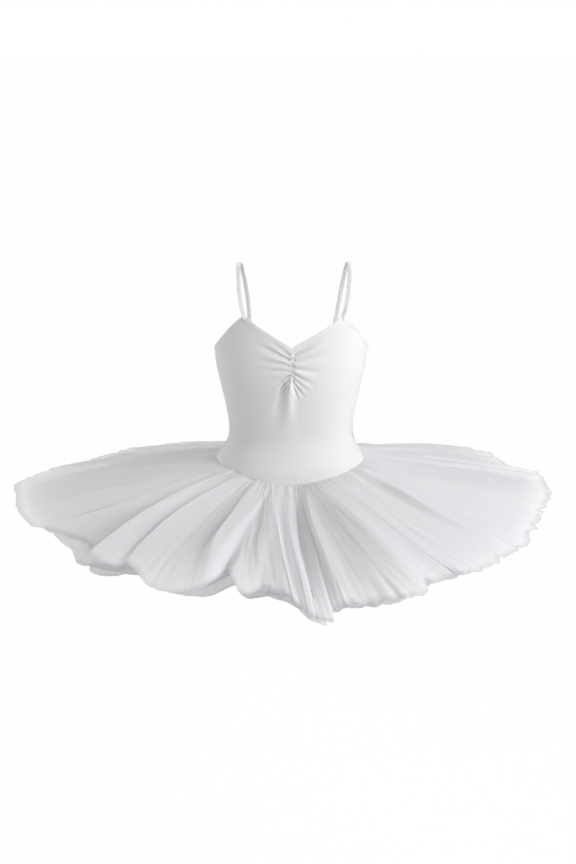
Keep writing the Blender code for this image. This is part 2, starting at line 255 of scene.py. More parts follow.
def unit(vectors):
    return vectors / np.maximum(np.linalg.norm(vectors, axis=-1, keepdims=True), 1e-12)


def surfaceNormal(pointOf, first, second, firstStep, secondStep):
    around = pointOf(first + firstStep, second) - pointOf(first - firstStep, second)
    upward = pointOf(first, second + secondStep) - pointOf(first, second - secondStep)
    return unit(np.cross(around, upward))


# Shader groups

def nodeGroup(name, inputs, outputs):
    group = bpy.data.node_groups.new(name, "ShaderNodeTree")
    for label, kind, value in inputs:
        socket = group.interface.new_socket(name=label, in_out="INPUT", socket_type=kind)
        if value is not None:
            socket.default_value = value
    for label, kind in outputs:
        group.interface.new_socket(name=label, in_out="OUTPUT", socket_type=kind)
    entry = group.nodes.new("NodeGroupInput")
    leave = group.nodes.new("NodeGroupOutput")
    return group, entry, leave


def mathNode(tree, operation, first, second=None, third=None, clamp=False):
    node = tree.nodes.new("ShaderNodeMath")
    node.operation = operation
    node.use_clamp = clamp
    for socket, value in zip(node.inputs, (first, second, third)):
        if value is None:
            continue
        if isinstance(value, (int, float)):
            socket.default_value = value
        else:
            tree.links.new(value, socket)
    return node.outputs[0]


def makeTulleNet():
    # hexagonal holes of a fine net: a mask of its threads, and their height
    group, entry, leave = nodeGroup("tulleNet", [
        ("Cloth Place", "NodeSocketVector", None),
        ("Hole Size", "NodeSocketFloat", 0.0014),
        ("Thread Share", "NodeSocketFloat", 0.5),
        ("Hole Cover", "NodeSocketFloat", 0.4),
        ("Thread Cover", "NodeSocketFloat", 0.95),
    ], [("Cover", "NodeSocketFloat"), ("Threads", "NodeSocketFloat")])
    waves = None
    for turn in (0, 60, 120):
        angle = math.radians(turn + 15)
        along = group.nodes.new("ShaderNodeVectorMath")
        along.operation = "DOT_PRODUCT"
        group.links.new(entry.outputs["Cloth Place"], along.inputs[0])
        along.inputs[1].default_value = (math.cos(angle), math.sin(angle), 0)
        step = mathNode(group, "DIVIDE", along.outputs["Value"], entry.outputs["Hole Size"])
        wave = mathNode(group, "COSINE", mathNode(group, "MULTIPLY", step, 2 * math.pi))
        waves = wave if waves is None else mathNode(group, "ADD", waves, wave)
    level = mathNode(group, "DIVIDE", mathNode(group, "SUBTRACT", 3.0, waves), 4.5)
    ramp = group.nodes.new("ShaderNodeMapRange")
    ramp.interpolation_type = "SMOOTHSTEP"
    group.links.new(level, ramp.inputs["Value"])
    low = mathNode(group, "SUBTRACT", 0.9, entry.outputs["Thread Share"])
    group.links.new(low, ramp.inputs["From Min"])
    group.links.new(mathNode(group, "ADD", low, 0.25), ramp.inputs["From Max"])
    threads = ramp.outputs["Result"]
    reach = mathNode(group, "SUBTRACT", entry.outputs["Thread Cover"], entry.outputs["Hole Cover"])
    cover = mathNode(group, "MULTIPLY_ADD", threads, reach, entry.outputs["Hole Cover"])
    group.links.new(cover, leave.inputs["Cover"])
    group.links.new(threads, leave.inputs["Threads"])
    return group


def makeKnit():
    # the small V stitches of a jersey, by distances on the cloth
    group, entry, leave = nodeGroup("jerseyKnit", [
        ("Cloth Place", "NodeSocketVector", None),
        ("Rib Width", "NodeSocketFloat", 0.0010),
        ("Stitch Length", "NodeSocketFloat", 0.0012),
        ("Slant", "NodeSocketFloat", 0.45),
    ], [("Height", "NodeSocketFloat"), ("Yarn", "NodeSocketFloat")])
    parts = group.nodes.new("ShaderNodeSeparateXYZ")
    group.links.new(entry.outputs["Cloth Place"], parts.inputs[0])
    across = mathNode(group, "DIVIDE", parts.outputs["X"], entry.outputs["Rib Width"])
    inRib = mathNode(group, "ABSOLUTE", mathNode(group, "SUBTRACT", mathNode(group, "FRACT", across), 0.5))
    upward = mathNode(group, "DIVIDE", parts.outputs["Y"], entry.outputs["Stitch Length"])
    slanted = mathNode(group, "MULTIPLY_ADD", inRib, entry.outputs["Slant"], upward)
    course = mathNode(group, "SINE", mathNode(group, "MULTIPLY", slanted, 2 * math.pi))
    rib = mathNode(group, "COSINE", mathNode(group, "MULTIPLY", inRib, 2 * math.pi))
    yarnBow = mathNode(group, "MULTIPLY_ADD", course, 0.25, 0.5)
    height = mathNode(group, "MULTIPLY_ADD", mathNode(group, "ABSOLUTE", rib), 0.35, yarnBow)
    group.links.new(height, leave.inputs["Height"])
    group.links.new(mathNode(group, "MULTIPLY_ADD", course, 0.5, 0.5), leave.inputs["Yarn"])
    return group


def makeSoftShade():
    # faint unevenness of white cloth: a base colour that drifts between two tones
    group, entry, leave = nodeGroup("softShade", [
        ("Place", "NodeSocketVector", None),
        ("Light Tone", "NodeSocketColor", (0.9, 0.9, 0.9, 1)),
        ("Dark Tone", "NodeSocketColor", (0.8, 0.8, 0.8, 1)),
        ("Patch Size", "NodeSocketFloat", 12.0),
    ], [("Colour", "NodeSocketColor"), ("Patches", "NodeSocketFloat")])
    noise = group.nodes.new("ShaderNodeTexNoise")
    noise.inputs["Detail"].default_value = 4
    noise.inputs["Roughness"].default_value = 0.55
    group.links.new(entry.outputs["Place"], noise.inputs["Vector"])
    group.links.new(entry.outputs["Patch Size"], noise.inputs["Scale"])
    mix = group.nodes.new("ShaderNodeMix")
    mix.data_type = "RGBA"
    group.links.new(noise.outputs["Fac"], mix.inputs["Factor"])
    group.links.new(entry.outputs["Dark Tone"], mix.inputs[6])
    group.links.new(entry.outputs["Light Tone"], mix.inputs[7])
    group.links.new(mix.outputs[2], leave.inputs["Colour"])
    group.links.new(noise.outputs["Fac"], leave.inputs["Patches"])
    return group


tulleNet = makeTulleNet()
jerseyKnit = makeKnit()
softShade = makeSoftShade()


def placed(tree, group, **values):
    node = tree.nodes.new("ShaderNodeGroup")
    node.node_tree = group
    for label, value in values.items():
        node.inputs[label.replace("_", " ")].default_value = value
    return node


def startMaterial(name):
    material = bpy.data.materials.new(name)
    material.use_nodes = True
    tree = material.node_tree
    tree.nodes.clear()
    output = tree.nodes.new("ShaderNodeOutputMaterial")
    shader = tree.nodes.new("ShaderNodeBsdfPrincipled")
    tree.links.new(shader.outputs[0], output.inputs["Surface"])
    return material, tree, shader, output


def clothPlaceNode(tree):
    node = tree.nodes.new("ShaderNodeUVMap")
    node.uv_map = "cloth"
    return node.outputs["UV"]


def objectPlace(tree):
    return tree.nodes.new("ShaderNodeTexCoord").outputs["Object"]


tulleFinish = {
    "lightTone": (0.91, 0.915, 0.925, 1),
    "darkTone": (0.86, 0.865, 0.885, 1),
    "holeSize": 0.0011,
    "threadShare": 0.50,
    "holeCover": 0.62,
    "threadCover": 0.97,
    "lightThrough": 0.28,
    "fullLength": 0.31,
    "rimCover": 0.92,
    # painted shade at the cut rim: its dark tone, where it starts along the cloth, and how much of it is mixed in
    "paintedRimShadeTone": (0.50, 0.51, 0.54, 1),
    "paintedRimShadeStarts": 0.96,
    "paintedRimShadeShare": 0.75,
}


def makeTulle(name, finish):
    material, tree, shader, output = startMaterial(name)
    net = placed(tree, tulleNet, Hole_Size=finish["holeSize"], Thread_Share=finish["threadShare"],
                 Hole_Cover=finish["holeCover"], Thread_Cover=finish["threadCover"])
    place = clothPlaceNode(tree)
    tree.links.new(place, net.inputs["Cloth Place"])
    # the gathered cloth lies doubled near the seam and single at the rim
    parts = tree.nodes.new("ShaderNodeSeparateXYZ")
    tree.links.new(place, parts.inputs[0])
    single = tree.nodes.new("ShaderNodeMapRange")
    tree.links.new(parts.outputs["Y"], single.inputs["Value"])
    single.inputs["From Max"].default_value = finish["fullLength"]
    single.inputs["From Min"].default_value = 0.45 * finish["fullLength"]
    single.inputs["To Min"].default_value = 1.0
    single.inputs["To Max"].default_value = finish["rimCover"]
    cover = mathNode(tree, "MULTIPLY", net.outputs["Cover"], single.outputs["Result"])
    shade = placed(tree, softShade, Light_Tone=finish["lightTone"], Dark_Tone=finish["darkTone"], Patch_Size=9.0)
    tree.links.new(objectPlace(tree), shade.inputs["Place"])
    # painted shade: near the cut edge the base colour is mixed towards a dark tone, in place of the shade under the
    # curled-over rim
    reach = tree.nodes.new("ShaderNodeAttribute")
    reach.attribute_name = "along"
    edge = tree.nodes.new("ShaderNodeMapRange")
    tree.links.new(reach.outputs["Fac"], edge.inputs["Value"])
    edge.inputs["From Min"].default_value = finish["paintedRimShadeStarts"]
    edge.inputs["From Max"].default_value = 1.0
    edge.inputs["To Max"].default_value = finish["paintedRimShadeShare"]
    baseWithPaintedShade = tree.nodes.new("ShaderNodeMix")
    baseWithPaintedShade.data_type = "RGBA"
    tree.links.new(edge.outputs["Result"], baseWithPaintedShade.inputs[0])
    tree.links.new(shade.outputs["Colour"], baseWithPaintedShade.inputs[6])
    baseWithPaintedShade.inputs[7].default_value = finish["paintedRimShadeTone"]
    tree.links.new(baseWithPaintedShade.outputs[2], shader.inputs["Base Color"])
    tree.links.new(cover, shader.inputs["Alpha"])
    shader.inputs["Roughness"].default_value = 0.75
    shader.inputs["Specular IOR Level"].default_value = 0.25
    bump = tree.nodes.new("ShaderNodeBump")
    bump.inputs["Strength"].default_value = 0.25
    bump.inputs["Distance"].default_value = 0.0003
    tree.links.new(net.outputs["Threads"], bump.inputs["Height"])
    tree.links.new(bump.outputs["Normal"], shader.inputs["Normal"])
    through = tree.nodes.new("ShaderNodeBsdfTranslucent")
    through.inputs["Color"].default_value = (0.90, 0.90, 0.92, 1)
    mix = tree.nodes.new("ShaderNodeMixShader")
    mix.inputs["Fac"].default_value = finish["lightThrough"]
    tree.links.new(shader.outputs[0], mix.inputs[1])
    tree.links.new(through.outputs[0], mix.inputs[2])
    tree.links.new(mix.outputs[0], output.inputs["Surface"])
    return material


jerseyFinish = {
    "lightTone": (0.87, 0.866, 0.866, 1),
    "darkTone": (0.83, 0.824, 0.826, 1),
    "ribWidth": 0.0011,
    "stitchLength": 0.0013,
    "relief": 0.0002,
    "lightThrough": 0.10,
}


def makeJersey(name, finish):
    material, tree, shader, output = startMaterial(name)
    knit = placed(tree, jerseyKnit, Rib_Width=finish["ribWidth"], Stitch_Length=finish["stitchLength"])
    tree.links.new(clothPlaceNode(tree), knit.inputs["Cloth Place"])
    shade = placed(tree, softShade, Light_Tone=finish["lightTone"], Dark_Tone=finish["darkTone"], Patch_Size=22.0)
    tree.links.new(objectPlace(tree), shade.inputs["Place"])
    tree.links.new(shade.outputs["Colour"], shader.inputs["Base Color"])
    shader.inputs["Roughness"].default_value = 0.82
    shader.inputs["Specular IOR Level"].default_value = 0.25
    shader.inputs["Sheen Weight"].default_value = 0.25
    shader.inputs["Sheen Roughness"].default_value = 0.6
    bump = tree.nodes.new("ShaderNodeBump")
    bump.inputs["Strength"].default_value = 0.35
    bump.inputs["Distance"].default_value = finish["relief"]
    tree.links.new(knit.outputs["Height"], bump.inputs["Height"])
    tree.links.new(bump.outputs["Normal"], shader.inputs["Normal"])
    through = tree.nodes.new("ShaderNodeBsdfTranslucent")
    through.inputs["Color"].default_value = (0.85, 0.83, 0.82, 1)
    mix = tree.nodes.new("ShaderNodeMixShader")
    mix.inputs["Fac"].default_value = finish["lightThrough"]
    tree.links.new(shader.outputs[0], mix.inputs[1])
    tree.links.new(through.outputs[0], mix.inputs[2])
    tree.links.new(mix.outputs[0], output.inputs["Surface"])
    return material


bindingFinish = {
    "lightTone": (0.83, 0.825, 0.81, 1),
    "darkTone": (0.79, 0.78, 0.765, 1),
    "ribWidth": 0.0007,
    "stitchLength": 0.0009,
}


def makeBinding(name, finish):
    material, tree, shader, output = startMaterial(name)
    knit = placed(tree, jerseyKnit, Rib_Width=finish["ribWidth"], Stitch_Length=finish["stitchLength"], Slant=0.1)
    tree.links.new(clothPlaceNode(tree), knit.inputs["Cloth Place"])
    shade = placed(tree, softShade, Light_Tone=finish["lightTone"], Dark_Tone=finish["darkTone"], Patch_Size=60.0)
    tree.links.new(objectPlace(tree), shade.inputs["Place"])
    tree.links.new(shade.outputs["Colour"], shader.inputs["Base Color"])
    shader.inputs["Roughness"].default_value = 0.6
    shader.inputs["Specular IOR Level"].default_value = 0.35
    shader.inputs["Sheen Weight"].default_value = 0.15
    bump = tree.nodes.new("ShaderNodeBump")
    bump.inputs["Strength"].default_value = 0.4
    bump.inputs["Distance"].default_value = 0.0002
    tree.links.new(knit.outputs["Height"], bump.inputs["Height"])
    tree.links.new(bump.outputs["Normal"], shader.inputs["Normal"])
    return material


def makeThread(name):
    material, tree, shader, output = startMaterial(name)
    wave = tree.nodes.new("ShaderNodeTexWave")
    wave.bands_direction = "DIAGONAL"
    wave.inputs["Scale"].default_value = 900
    wave.inputs["Distortion"].default_value = 0.5
    tree.links.new(objectPlace(tree), wave.inputs["Vector"])
    shade = placed(tree, softShade, Light_Tone=(0.92, 0.92, 0.91, 1), Dark_Tone=(0.84, 0.83, 0.82, 1), Patch_Size=300.0)
    tree.links.new(objectPlace(tree), shade.inputs["Place"])
    tree.links.new(shade.outputs["Colour"], shader.inputs["Base Color"])
    bump = tree.nodes.new("ShaderNodeBump")
    bump.inputs["Strength"].default_value = 0.3
    bump.inputs["Distance"].default_value = 0.0001
    tree.links.new(wave.outputs["Fac"], bump.inputs["Height"])
    tree.links.new(bump.outputs["Normal"], shader.inputs["Normal"])
    shader.inputs["Roughness"].default_value = 0.45
    return material


tulle = makeTulle("coolWhiteTulle", tulleFinish)
jersey = makeJersey("whiteJersey", jerseyFinish)
binding = makeBinding("whiteBinding", bindingFinish)
thread = makeThread("whiteThread")
print("materials made")

# Geometry Nodes trees

def geometryTree(name, inputs):
    tree = bpy.data.node_groups.new(name, "GeometryNodeTree")
    tree.interface.new_socket(name="Geometry", in_out="INPUT", socket_type="NodeSocketGeometry")
    keys = {}
    for label, kind, value in inputs:
        socket = tree.interface.new_socket(name=label, in_out="INPUT", socket_type=kind)
        if value is not None:
            socket.default_value = value
        keys[label] = socket.identifier
    tree.interface.new_socket(name="Geometry", in_out="OUTPUT", socket_type="NodeSocketGeometry")
    entry = tree.nodes.new("NodeGroupInput")
    leave = tree.nodes.new("NodeGroupOutput")
    return tree, entry, leave, keys


def finishTree(tree, entry, leave, geometry):
    real = tree.nodes.new("GeometryNodeRealizeInstances")
    tree.links.new(geometry, real.inputs["Geometry"])
    paint = tree.nodes.new("GeometryNodeSetMaterial")
    tree.links.new(real.outputs["Geometry"], paint.inputs["Geometry"])
    tree.links.new(entry.outputs["Material"], paint.inputs["Material"])
    tree.links.new(paint.outputs["Geometry"], leave.inputs["Geometry"])


def runTree(piece, tree, keys, values):
    modifier = piece.modifiers.new("rule", "NODES")
    modifier.node_group = tree
    for label, value in values.items():
        modifier[keys[label]] = value
    return applied(piece)


def makeStitchTree():
    # short raised stitches, one after another along a line of edges that carries the cloth's outward direction
    tree, entry, leave, keys = geometryTree("stitchRow", [
        ("Pitch", "NodeSocketFloat", 0.0028),
        ("Length Share", "NodeSocketFloat", 0.72),
        ("Thread Width", "NodeSocketFloat", 0.0005),
        ("Unevenness", "NodeSocketFloat", 0.12),
        ("Seed", "NodeSocketInt", 3),
        ("Material", "NodeSocketMaterial", None),
    ])
    line = tree.nodes.new("GeometryNodeMeshToCurve")
    tree.links.new(entry.outputs["Geometry"], line.inputs["Mesh"])
    steps = tree.nodes.new("GeometryNodeResampleCurve")
    steps.mode = "LENGTH"
    tree.links.new(line.outputs["Curve"], steps.inputs["Curve"])
    tree.links.new(entry.outputs["Pitch"], steps.inputs["Length"])
    outward = tree.nodes.new("GeometryNodeInputNamedAttribute")
    outward.data_type = "FLOAT_VECTOR"
    outward.inputs["Name"].default_value = "outward"
    tangent = tree.nodes.new("GeometryNodeInputTangent")
    facing = tree.nodes.new("FunctionNodeAxesToRotation")
    facing.primary_axis = "X"
    facing.secondary_axis = "Z"
    tree.links.new(tangent.outputs[0], facing.inputs["Primary Axis"])
    tree.links.new(outward.outputs["Attribute"], facing.inputs["Secondary Axis"])
    grain = tree.nodes.new("GeometryNodeMeshIcoSphere")
    grain.inputs["Radius"].default_value = 0.5
    grain.inputs["Subdivisions"].default_value = 2
    wobble = tree.nodes.new("FunctionNodeRandomValue")
    wobble.data_type = "FLOAT"
    tree.links.new(entry.outputs["Seed"], wobble.inputs["Seed"])
    low = mathNode(tree, "SUBTRACT", 1.0, entry.outputs["Unevenness"])
    high = mathNode(tree, "ADD", 1.0, entry.outputs["Unevenness"])
    tree.links.new(low, wobble.inputs[2])
    tree.links.new(high, wobble.inputs[3])
    length = mathNode(tree, "MULTIPLY", entry.outputs["Pitch"], entry.outputs["Length Share"])
    length = mathNode(tree, "MULTIPLY", length, wobble.outputs[1])
    size = tree.nodes.new("ShaderNodeCombineXYZ")
    tree.links.new(length, size.inputs["X"])
    tree.links.new(entry.outputs["Thread Width"], size.inputs["Y"])
    tree.links.new(mathNode(tree, "MULTIPLY", entry.outputs["Thread Width"], 0.8), size.inputs["Z"])
    copies = tree.nodes.new("GeometryNodeInstanceOnPoints")
    tree.links.new(steps.outputs["Curve"], copies.inputs["Points"])
    tree.links.new(grain.outputs["Mesh"], copies.inputs["Instance"])
    tree.links.new(facing.outputs["Rotation"], copies.inputs["Rotation"])
    tree.links.new(size.outputs[0], copies.inputs["Scale"])
    finishTree(tree, entry, leave, copies.outputs["Instances"])
    return tree, keys


def makeTulleTree():
    # fine pleats, gathers at the seam and crumple over a sheet that carries "around", "along" and "flutes"
    tree, entry, leave, keys = geometryTree("gatheredTulle", [
        ("Gathers", "NodeSocketFloat", 190.0),
        ("Gather Height", "NodeSocketFloat", 0.0012),
        ("Gather Length", "NodeSocketFloat", 0.16),
        ("Fine Pleats", "NodeSocketFloat", 120.0),
        ("Fine Pleat Height", "NodeSocketFloat", 0.002),
        ("Creases", "NodeSocketFloat", 38.0),
        ("Crease Height", "NodeSocketFloat", 0.004),
        ("Crumple Height", "NodeSocketFloat", 0.004),
        ("Crumple Size", "NodeSocketFloat", 26.0),
        ("Seed", "NodeSocketFloat", 1.0),
        ("Material", "NodeSocketMaterial", None),
    ])

    def named(label):
        node = tree.nodes.new("GeometryNodeInputNamedAttribute")
        node.data_type = "FLOAT"
        node.inputs["Name"].default_value = label
        return node.outputs["Attribute"]

    def noiseOver(scaleAround, scaleAlong, shift, detail):
        # noise on a ring, so that it closes where the sheet meets itself
        turn = mathNode(tree, "MULTIPLY", named("around"), 2 * math.pi)
        place = tree.nodes.new("ShaderNodeCombineXYZ")
        tree.links.new(mathNode(tree, "MULTIPLY", mathNode(tree, "COSINE", turn), scaleAround), place.inputs["X"])
        tree.links.new(mathNode(tree, "MULTIPLY", mathNode(tree, "SINE", turn), scaleAround), place.inputs["Y"])
        tree.links.new(mathNode(tree, "MULTIPLY", named("along"), scaleAlong), place.inputs["Z"])
        noise = tree.nodes.new("ShaderNodeTexNoise")
        noise.noise_dimensions = "4D"
        noise.inputs["Scale"].default_value = 1.0
        noise.inputs["Detail"].default_value = detail
        tree.links.new(place.outputs[0], noise.inputs["Vector"])
        tree.links.new(mathNode(tree, "ADD", entry.outputs["Seed"], shift), noise.inputs["W"])
        return mathNode(tree, "SUBTRACT", noise.outputs["Fac"], 0.5)

    along = named("along")
    turn = mathNode(tree, "MULTIPLY", named("around"), 2 * math.pi)
    # gathers fade out a short way from the seam
    near = mathNode(tree, "SUBTRACT", 1.0, mathNode(tree, "DIVIDE", along, entry.outputs["Gather Length"]), clamp=True)
    drift = mathNode(tree, "MULTIPLY", noiseOver(6, 1, 11, 1), 26)
    phase = mathNode(tree, "MULTIPLY_ADD", turn, entry.outputs["Gathers"], drift)
    gathers = mathNode(tree, "MULTIPLY", mathNode(tree, "SINE", phase), mathNode(tree, "POWER", near, 1.5))
    start = mathNode(tree, "MULTIPLY", along, 30.0, clamp=True)
    gathers = mathNode(tree, "MULTIPLY", gathers, start)
    gathers = mathNode(tree, "MULTIPLY", gathers, entry.outputs["Gather Height"])
    # fine pleats open towards the rim
    drift = mathNode(tree, "MULTIPLY", noiseOver(7, 1, 23, 1), 46)
    phase = mathNode(tree, "MULTIPLY_ADD", turn, entry.outputs["Fine Pleats"], drift)
    wave = mathNode(tree, "SINE", phase)
    swell = mathNode(tree, "MULTIPLY_ADD", noiseOver(9, 0.5, 37, 0), 2.2, 1.0, clamp=True)
    fine = mathNode(tree, "MULTIPLY", mathNode(tree, "MULTIPLY", wave, swell), named("flutes"))
    fine = mathNode(tree, "MULTIPLY", fine, entry.outputs["Fine Pleat Height"])
    # long shallow creases that run from seam to rim
    longCrumple = noiseOver(entry.outputs["Crumple Size"], 1.6, 67, 2)
    crumple = mathNode(tree, "MULTIPLY", longCrumple, entry.outputs["Crumple Height"])
    creaseNoise = noiseOver(entry.outputs["Creases"], 1.1, 81, 1)
    creases = mathNode(tree, "MULTIPLY", creaseNoise, entry.outputs["Crease Height"])
    crumple = mathNode(tree, "ADD", crumple, creases)
    crumple = mathNode(tree, "MULTIPLY", crumple, mathNode(tree, "POWER", along, 0.6))
    height = mathNode(tree, "ADD", mathNode(tree, "ADD", gathers, fine), crumple)
    normal = tree.nodes.new("GeometryNodeInputNormal")
    shift = tree.nodes.new("ShaderNodeVectorMath")
    shift.operation = "SCALE"
    tree.links.new(normal.outputs[0], shift.inputs[0])
    tree.links.new(height, shift.inputs["Scale"])
    move = tree.nodes.new("GeometryNodeSetPosition")
    tree.links.new(entry.outputs["Geometry"], move.inputs["Geometry"])
    tree.links.new(shift.outputs[0], move.inputs["Offset"])
    finishTree(tree, entry, leave, move.outputs["Geometry"])
    return tree, keys


stitchTree, stitchKeys = makeStitchTree()
tulleTree, tulleKeys = makeTulleTree()

# Camera, at the photograph's angle

view = {"target": (0, 0, -0.307), "elevation": 16.0, "distance": 2.2, "lens": 58.25}


def makeCamera():
    data = bpy.data.cameras.new("camera")
    data.sensor_fit = "VERTICAL"
    data.sensor_height = 36
    data.lens = view["lens"]
    data.shift_x = (288 - 290) / 864
    data.shift_y = 25 / 864
    camera = bpy.data.objects.new("camera", data)
    scene.collection.objects.link(camera)
    rise = math.radians(view["elevation"])
    target = Vector(view["target"])
    camera.location = target + Vector((0, -math.cos(rise), math.sin(rise))) * view["distance"]
    camera.rotation_euler = (target - camera.location).to_track_quat("-Z", "Y").to_euler()
    scene.camera = camera


makeCamera()

# Bodice

bodice = {
    "wall": 0.0012,
    "outside": 0.0015,
    "sideGap": 0.06,
    # folds that fan out from the gathered centre line: start and end across and up, depth, width at both ends
    "folds": [
        (-0.0010, 0.1790, -0.0330, 0.2000, 0.0046, 0.0024, 0.0044),
        (-0.0015, 0.1735, -0.0640, 0.1985, 0.0054, 0.0025, 0.0058),
        (-0.0015, 0.1650, -0.0620, 0.1730, 0.0046, 0.0024, 0.0062),
        (-0.0015, 0.1570, -0.0560, 0.1570, 0.0034, 0.0022, 0.0058),
        (-0.0015, 0.1515, -0.0310, 0.1335, 0.0046, 0.0020, 0.0042),
        (-0.0012, 0.1465, -0.0225, 0.1215, 0.0044, 0.0018, 0.0038),
        (-0.0010, 0.1425, -0.0145, 0.1110, 0.0034, 0.0017, 0.0034),
        (0.0010, 0.1800, 0.0450, 0.2060, 0.0090, 0.0030, 0.0062),
        (0.0015, 0.1715, 0.0600, 0.1900, 0.0066, 0.0029, 0.0078),
        (0.0015, 0.1625, 0.0500, 0.1545, 0.0044, 0.0024, 0.0060),
        (0.0015, 0.1545, 0.0400, 0.1325, 0.0048, 0.0021, 0.0050),
        (0.0012, 0.1490, 0.0300, 0.1230, 0.0044, 0.0019, 0.0041),
        (0.0010, 0.1445, 0.0220, 0.1135, 0.0042, 0.0018, 0.0036),
        (0.0008, 0.1405, 0.0135, 0.1070, 0.0036, 0.0016, 0.0032),
    ],
    "centreStart": 0.187,
    "centreEnd": 0.139,
    "puckerPitch": 0.0046,
    "puckerHeight": 0.0006,
    "centreFoldRise": 0.0056,
}


def gatherRelief(sideways, height):
    total = np.zeros_like(sideways)
    for startX, startZ, endX, endZ, depth, narrow, broad in bodice["folds"]:
        direction = np.array((endX - startX, endZ - startZ))
        length = np.hypot(*direction)
        direction = direction / length
        fromX, fromZ = sideways - startX, height - startZ
        along = fromX * direction[0] + fromZ * direction[1]
        bend = 0.06 * along * (1 - along / length)
        across = fromZ * direction[0] - fromX * direction[1] + bend
        share = along / length
        width = narrow + (broad - narrow) * np.clip(share, 0, 1)
        place = across / width
        profile = 0.60 * np.exp(-(place / 2.3) ** 2) - 1.35 * np.exp(-place ** 2)
        strength = eased(along / 0.003) * eased(1 - share) ** 0.8
        total += depth * profile * strength
    low, high = bodice["centreEnd"], bodice["centreStart"]
    within = eased((height - low + 0.004) / 0.004) * eased((high + 0.004 - height) / 0.004)
    phase = height / bodice["puckerPitch"] * 2 * math.pi + 0.9 * np.sin(height * 310) + np.where(sideways > 0, 1.9, 0)
    pucker = np.sin(phase) * np.exp(-((np.abs(sideways) - 0.0028) / 0.0034) ** 2)
    total += bodice["puckerHeight"] * pucker * within
    total -= (0.0005 + 0.0002 * np.sin(height * 900)) * np.exp(-(sideways / 0.0020) ** 2) * within
    # the soft fold that hangs from the end of the gathers
    down = np.clip((low - height) / 0.095, 0, 1)
    hang = eased((low + 0.004 - height) / 0.008) * eased(1 - down)
    middle = -0.0015 - 0.004 * down
    width = 0.0046 + 0.007 * down
    total += bodice["centreFoldRise"] * hang * np.exp(-((sideways - middle) / width) ** 2)
    total -= 0.5 * bodice["centreFoldRise"] * hang * np.exp(-((sideways - middle + 2.1 * width) / width) ** 2)
    return total


def makeBodiceFront():
    half = np.concatenate((np.linspace(0, 40, 110)[:-1], np.linspace(40, 90 - bodice["sideGap"], 50)))
    azimuths = np.concatenate((-half[::-1][:-1], half))
    shares = np.concatenate((np.linspace(0, 0.40, 34)[:-1], np.linspace(0.40, 1, 96)))
    azimuth = np.broadcast_to(azimuths, (len(shares), len(azimuths)))
    low, high = seamHeight(azimuths), topEdge(azimuths)
    height = low + (high - low) * shares[:, None]
    smooth = formPoint(azimuth, height, bodice["outside"])
    sideways = smooth[..., 0] - tableValue(figure["rows"], height, 4)
    relief = gatherRelief(sideways, height)
    relief *= eased((high - 0.002 - height) / 0.006)
    # faint broad drag lines towards the waist and the side seams
    drag = 0.0005 * np.sin(azimuth / 9 + 40 * height) * np.exp(-((height - 0.04) / 0.03) ** 2)
    points = formPoint(azimuth, height, bodice["outside"] + relief + drag)
    piece = gridPiece("bodiceFront", points, clothPlaces(smooth))
    piece.data.materials.append(jersey)
    return thickened(piece, bodice["wall"], -1)


def makeBodiceBack():
    azimuths = np.linspace(90 + bodice["sideGap"], 270 - bodice["sideGap"], 150)
    shares = np.linspace(0, 1, 60)
    azimuth = np.broadcast_to(azimuths, (len(shares), len(azimuths)))
    low, high = seamHeight(azimuths), topEdge(azimuths)
    height = low + (high - low) * shares[:, None]
    smooth = formPoint(azimuth, height, bodice["outside"])
    drag = 0.0009 * np.sin((azimuth - 180) / 8.5) * np.exp(-((height - 0.045) / 0.022) ** 2)
    drag += 0.0006 * np.sin((azimuth - 180) / 15 + 55 * height)
    drag *= eased((high - 0.004 - height) / 0.01) * eased((height - low) / 0.008)
    points = formPoint(azimuth, height, bodice["outside"] + drag)
    piece = gridPiece("bodiceBack", points, clothPlaces(smooth))
    piece.data.materials.append(jersey)
    return thickened(piece, bodice["wall"], -1)


bodiceFront = makeBodiceFront()
bodiceBack = makeBodiceBack()
print("bodice made")

# Brief

brief = {"wall": 0.0012, "outside": 0.0015}


def makeBriefHalf(name, back):
    shares = np.linspace(-1, 1, 120)
    facing = 90 - bodice["sideGap"]
    rows = []
    for drop in np.linspace(0, 1, 14):
        azimuth = 180 - shares * facing if back else shares * facing
        high = seamHeight(azimuth)
        rows.append(formPoint(azimuth, high + (figure["capTop"] - high) * drop, brief["outside"]))
    for turn in np.linspace(0, edges["crotchTurn"] - 0.05, 60)[1:]:
        reach = np.minimum(legAzimuth(turn, back), facing)
        azimuth = 180 - shares * reach if back else shares * reach
        rows.append(capPoint(azimuth, turn, brief["outside"]))
    points = np.array(rows)
    places = clothPlaces(points)
    tension = 0.0005 * np.sin(places[..., 0] * 260 + places[..., 1] * 60)
    tension *= eased(places[..., 1] / 0.03) * eased((places[-1:, :, 1] - places[..., 1]) / 0.03)
    points = points + unit(points - np.array((0, 0, -0.36))) * tension[..., None]
    piece = gridPiece(name, points, places, flip=True)
    piece.data.materials.append(jersey)
    return thickened(piece, brief["wall"], -1)


briefFront = makeBriefHalf("briefFront", False)
briefBack = makeBriefHalf("briefBack", True)
print("brief made")

# Bindings and straps

bindings = {
    "width": 0.0062,
    "wall": 0.0024,
    "armholeWidth": 0.0048,
    "overEdge": 0.0006,
    "stitchIn": 0.0012,
    "stitchPitch": 0.0027,
}

stitchLines = []


def addStitchLine(points, outward):
    stitchLines.append((np.asarray(points), np.asarray(outward)))


